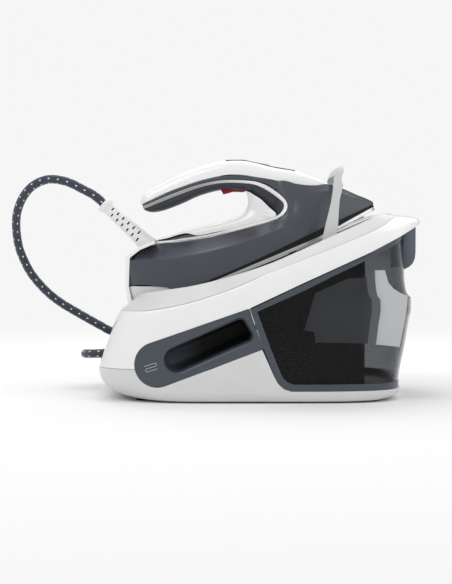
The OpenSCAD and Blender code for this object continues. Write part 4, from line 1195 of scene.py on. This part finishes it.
cuff = net("hose_cuff_sleeve", CUFF_COLUMNS, 60, cuff_place, ring=True, caps=(0, 1))
slot_levels, slot_rows, slot_pitch = 6, 2, 8.4
slot_count = 2 * slot_rows * slot_levels
bpy.ops.object.select_all(action="DESELECT")
bpy.ops.mesh.primitive_cube_add(size=1)
slots = bpy.context.object
bpy.ops.object.mode_set(mode="EDIT")
for k in range(slot_count - 1):
    bpy.ops.mesh.primitive_cube_add(size=1)
bpy.ops.object.mode_set(mode="OBJECT")
for k in range(slot_count):
    level, row = k % slot_levels, k // slot_levels % slot_rows
    side = 1 if k < slot_count / 2 else -1
    turn = side * math.radians(62 if row else 118)
    along = 8.5 + slot_pitch * level + (slot_pitch / 2 if row else 0)
    reach = cuff_girth(along)
    for vertex in slots.data.vertices[8 * k:8 * k + 8]:
        co = vertex.co.copy()
        spot = cuff_spot(turn + co.x * math.radians(38), reach + co.y * 4.4, along + co.z * 2.0)
        vertex.co = spot * MM
tidy_mesh(slots)
cut(cuff, slots)
soften(cuff, 0.25, sharp=50, segments=1)
cuff_skin = moulded("white_elastomer_cuff", "#E9E9E8", 0.42, 0.6, 0.08, mottle=0.04)
dress(cuff, cuff_skin, "iron", ["hose_cuff"], sharp=40)
slot_floor = net("cuff_slot_floor", 40, 6,
                 lambda i, v: cuff_spot(2 * math.pi * i / 40, cuff_girth(4 + 52 * v) - 2.0 + 0.1,
                                        4 + 52 * v), ring=True, caps=(0, 1))
black_abs = moulded("black_satin_abs", "#17181A", 0.38, 0.6, 0.10)
dress(slot_floor, black_abs, "iron", sharp=40)


# ---------- Trigger, boost key and its plate ----------
# The red steam trigger hangs under the grip on a dark pivot; the boost key sits in a slate
# plate let into the cap.
ruby = moulded("red_gloss_trigger", "#9C0A1C", 0.34, 0.8, 0.04, specular=0.25)
dress(own_copy("steam_trigger", 0.9, segments=3), ruby, "trigger",
      ["steam_trigger"])
HUB_COLUMNS = 40
hub_at, hub_r, hub_chamfer = (186, 90.6), 4.6, 0.9
for name, side in (("near", -1), ("far", 1)):
    def hub_place(i, v):
        turn, r = 2 * math.pi * i / HUB_COLUMNS, hub_r - hub_chamfer * max(0, v - 0.6) / 0.4
        return placed(hub_at[0] + r * math.cos(turn), side * (15.6 + 1.7 * v),
                      hub_at[1] + r * math.sin(turn))
    hub = net("trigger_hub_" + name, HUB_COLUMNS, 5, hub_place, ring=True, caps=(0, 1))
    dress(hub, dark_soft, "iron")
dress(own_copy("button_plate", 0.5), slate_abs, "iron", ["button_plate"])
dress(own_copy("boost_button", 0.6), light_abs, "boost_key", ["boost_button"])


# ---------- Locking bail ----------
# A light grey nylon hoop that folds over the iron's nose and holds it for carrying. Each arm
# tapers upwards from its pivot in the deck, and the bar between them is waisted for a finger.
arm_line = [(71.6, 176), (72, 186), (76, 204), (79, 216), (82, 229), (84, 241), (84.6, 250),
            (86.4, 259), (89, 265.4), (91.4, 269.6), (93.6, 271.2), (95.8, 270.4),
            (96.8, 267.4), (96.2, 263.4), (94.4, 259), (93.8, 255.4), (94.4, 252), (96, 248),
            (94.8, 244), (92, 232), (91, 221), (90, 200), (88, 190), (87, 176)]
bail = prism("locking_bail", arm_line, -66, 66)


def front_prism(name, circles, x_from, x_to):
    """A front outline of y and z, drawn along the base."""
    outline = round_hull(circles, 0)
    return net(name, len(outline), 1,
               lambda i, v: (x_from + (x_to - x_from) * v, *outline[i % len(outline)]),
               ring=True, caps=(0, 1))


cut(bail, front_prism("bail_outside", [(-60, 172, 6), (60, 172, 6), (54, 259.3, 12),
                                       (-54, 259.3, 12)], 50, 120), way="INTERSECT")
cut(bail, front_prism("bail_inside", [(-56, 165, 5), (56, 165, 5), (51, 250, 10),
                                      (-51, 250, 10)], 50, 120))
soften(bail, 1.1, sharp=40, segments=3)
nylon = moulded("light_grey_nylon", "#CFD0D0", 0.38, 0.8, 0.10)
dress(bail, nylon, "bail", ["lock_bail"], sharp=40)
dress(own_copy("bail_catch", 0.5), light_abs, "base", ["bail_catch"])


# ---------- Control panel ----------
# A silver lacquered panel on the rounded left end, with three keys and a lens for the lamp.
silver = metal("silver_lacquered_abs", "#C6C7C8", 0.34, 1400, bump=0.05)
dress(own_copy("control_panel", 0.7, segments=3, aside=3), silver, "base",
      ["control_panel"])
for node, body in (("power_button", "power_key"), ("eco_button", "eco_key"),
                   ("rinse_button", "rinse_key")):
    dress(own_copy(node, 0.6, segments=3, aside=3), light_abs, body, [node])
lens_red, tree, shader, place = new_material("red_lamp_lens", Roughness=0.12, IOR=1.49)
shader.inputs["Transmission Weight"].default_value = 0.4
cloud = put(tree, "TexNoise", {"Vector": place, "Scale": 160.0, "Detail": 2.0})
lens_tint = put(tree, "Mix", {0: cloud.outputs[0], 6: colour("#A01218"), 7: colour("#C81E22")},
                data_type="RGBA")
tree.links.new(lens_tint.outputs[2], shader.inputs["Base Color"])
dress(own_copy("indicator_lens", 0.3, aside=3), lens_red, "base", ["indicator_lens"])


# ---------- Iron rest, feet and fittings ----------
# The rest under the iron is light grey nylon with dark silicone pads. The feet are rubber, the
# glands black, and the screws and pins bright steel.
rubber = moulded("black_rubber", "#1B1C1E", 0.72, 1.0, 0.25, specular=0.3)
silicone = moulded("dark_silicone_pad", "#2A2C30", 0.6, 0.7, 0.2, specular=0.35)
bright_steel = metal("zinc_plated_steel", "#BFC1C4", 0.28, 500)
rest_grey = moulded("pale_grey_nylon_rest", "#B9BBBD", 0.42, 0.9, 0.12)
dress(own_copy("feet", 0.4), rubber, "base", ["feet"])
dress(own_copy("rest_pads", 0.6), silicone, "base", ["rest_pads"])
dress(own_copy("tank_valve", 0.3), light_abs, "tank", ["tank_valve"])
dress(own_copy("mains_gland", 0.5), black_abs, "base", ["mains_gland"])
dress(own_copy("hose_gland", 0.5), black_abs, "base", ["hose_gland"])


# ---------- Inner parts ----------
# Everything under the covers keeps its CAD shape and gets the finish of its real material.
cast_alloy = metal("sand_cast_aluminium", "#A5A7A8", 0.5, 700, bump=0.3)
brass = metal("turned_brass", "#B08D4A", 0.3, 400, (1.0, 1.0, 0.1))
boiler_steel = metal("deep_drawn_stainless", "#B4B5B6", 0.3, 320, (1.0, 0.1, 1.0))
pump_white = moulded("white_pump_nylon", "#D9D8D2", 0.45, 0.8, 0.12)
felt = moulded("glass_fibre_felt", "#B9B39F", 0.95, 1.6, 0.9, specular=0.1, mottle=0.3)
board_green = moulded("green_circuit_board", "#1F4A35", 0.4, 1.8, 0.25, mottle=0.3)
clear_tube = moulded("milky_silicone_tube", "#CFCBC2", 0.35, 0.6, 0.08, coat=0.2)
finishes = {
    "iron_rest": rest_grey, "hose_pocket": slate_abs, "pan_screws": bright_steel,
    "heel_screws": bright_steel, "bail_pins": bright_steel, "trigger_pin": bright_steel,
    "trigger_spring": bright_steel, "tank_seal": rubber,
    "heat_casting": cast_alloy, "sole_heater": boiler_steel, "iron_thermostat": boiler_steel,
    "trigger_switch": black_abs, "boiler": boiler_steel, "boiler_jacket": felt,
    "boiler_heater": boiler_steel, "boiler_thermostat": brass, "rinse_plug": brass,
    "steam_valve": brass, "pump": pump_white, "feed_tube": clear_tube,
    "boiler_tube": clear_tube, "steam_tube": clear_tube, "control_board": board_green}
for node, finish in finishes.items():
    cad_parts[node].data.materials.clear()
    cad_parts[node].data.materials.append(finish)


# ---------- Studio ----------
# A wide pale paper floor under an even white surround, with four large soft lights. Away from
# the object the floor turns into a glow as bright as the surround, so no horizon shows.
bpy.ops.object.select_all(action="DESELECT")
bpy.ops.mesh.primitive_grid_add(x_subdivisions=8, y_subdivisions=8, size=24)
floor = bpy.context.object
floor.name = "paper_floor"
paper, tree, shader, place = new_material("matt_white_paper", Roughness=0.9)
reach = put(tree, "VectorMath", {0: place}, operation="LENGTH")
away = put(tree, "MapRange", {0: reach.outputs["Value"], 1: 0.45, 2: 1.5, 3: 0.0, 4: 1.0}).outputs[0]
pale = put(tree, "Mix", {0: away, 6: colour("#F4F4F4"), 7: colour("#000000")}, data_type="RGBA")
glow = put(tree, "Math", {0: away, 1: 0.92}, operation="MULTIPLY")
shader.inputs["Specular IOR Level"].default_value = 0.0
shader.inputs["Emission Color"].default_value = colour("#FFFFFF")
tree.links.new(pale.outputs[2], shader.inputs["Base Color"])
tree.links.new(glow.outputs[0], shader.inputs["Emission Strength"])
fibre = put(tree, "TexNoise", {"Vector": place, "Scale": 400.0, "Detail": 2.0})
relief = put(tree, "Bump", {"Height": fibre.outputs[0], "Strength": 0.05, "Distance": 0.0005})
tree.links.new(relief.outputs[0], shader.inputs["Normal"])
activate(floor)
bpy.ops.object.shade_smooth()
floor.data.materials.append(paper)
world = bpy.data.worlds.new("studio_light")
world.use_nodes = True
world.node_tree.nodes["Background"].inputs[0].default_value = colour("#FFFFFF")
world.node_tree.nodes["Background"].inputs[1].default_value = 0.6
bright = put(world.node_tree, "Background", {0: colour("#FFFFFF"), 1: 0.92})
lit_or_seen = put(world.node_tree, "MixShader", {1: world.node_tree.nodes["Background"].outputs[0],
                                                 2: bright.outputs[0]})
ray = put(world.node_tree, "LightPath")
world.node_tree.links.new(ray.outputs["Is Camera Ray"], lit_or_seen.inputs[0])
world.node_tree.links.new(lit_or_seen.outputs[0],
                          world.node_tree.nodes["World Output"].inputs[0])
bpy.context.scene.world = world
bpy.context.scene.view_settings.view_transform = "Standard"
softboxes = (("key_softbox", (-0.9, -1.1, 1.5), (1.3, 1.0), 9),
             ("fill_softbox", (1.3, -0.9, 0.9), (1.0, 1.2), 4),
             ("top_softbox", (0.1, 0.3, 1.9), (1.8, 1.4), 9),
             ("back_softbox", (0.0, 1.1, 1.2), (2.2, 1.0), 8))
for name, spot, size, power in softboxes:
    light = bpy.data.lights.new(name, "AREA")
    light.shape = "RECTANGLE"
    light.size, light.size_y = size
    light.energy = power
    lamp = bpy.data.objects.new(name, light)
    bpy.context.scene.collection.objects.link(lamp)
    lamp.location = spot
    aim = Vector((0, 0, 0.12)) - Vector(spot)
    lamp.rotation_euler = aim.to_track_quat("-Z", "Y").to_euler()
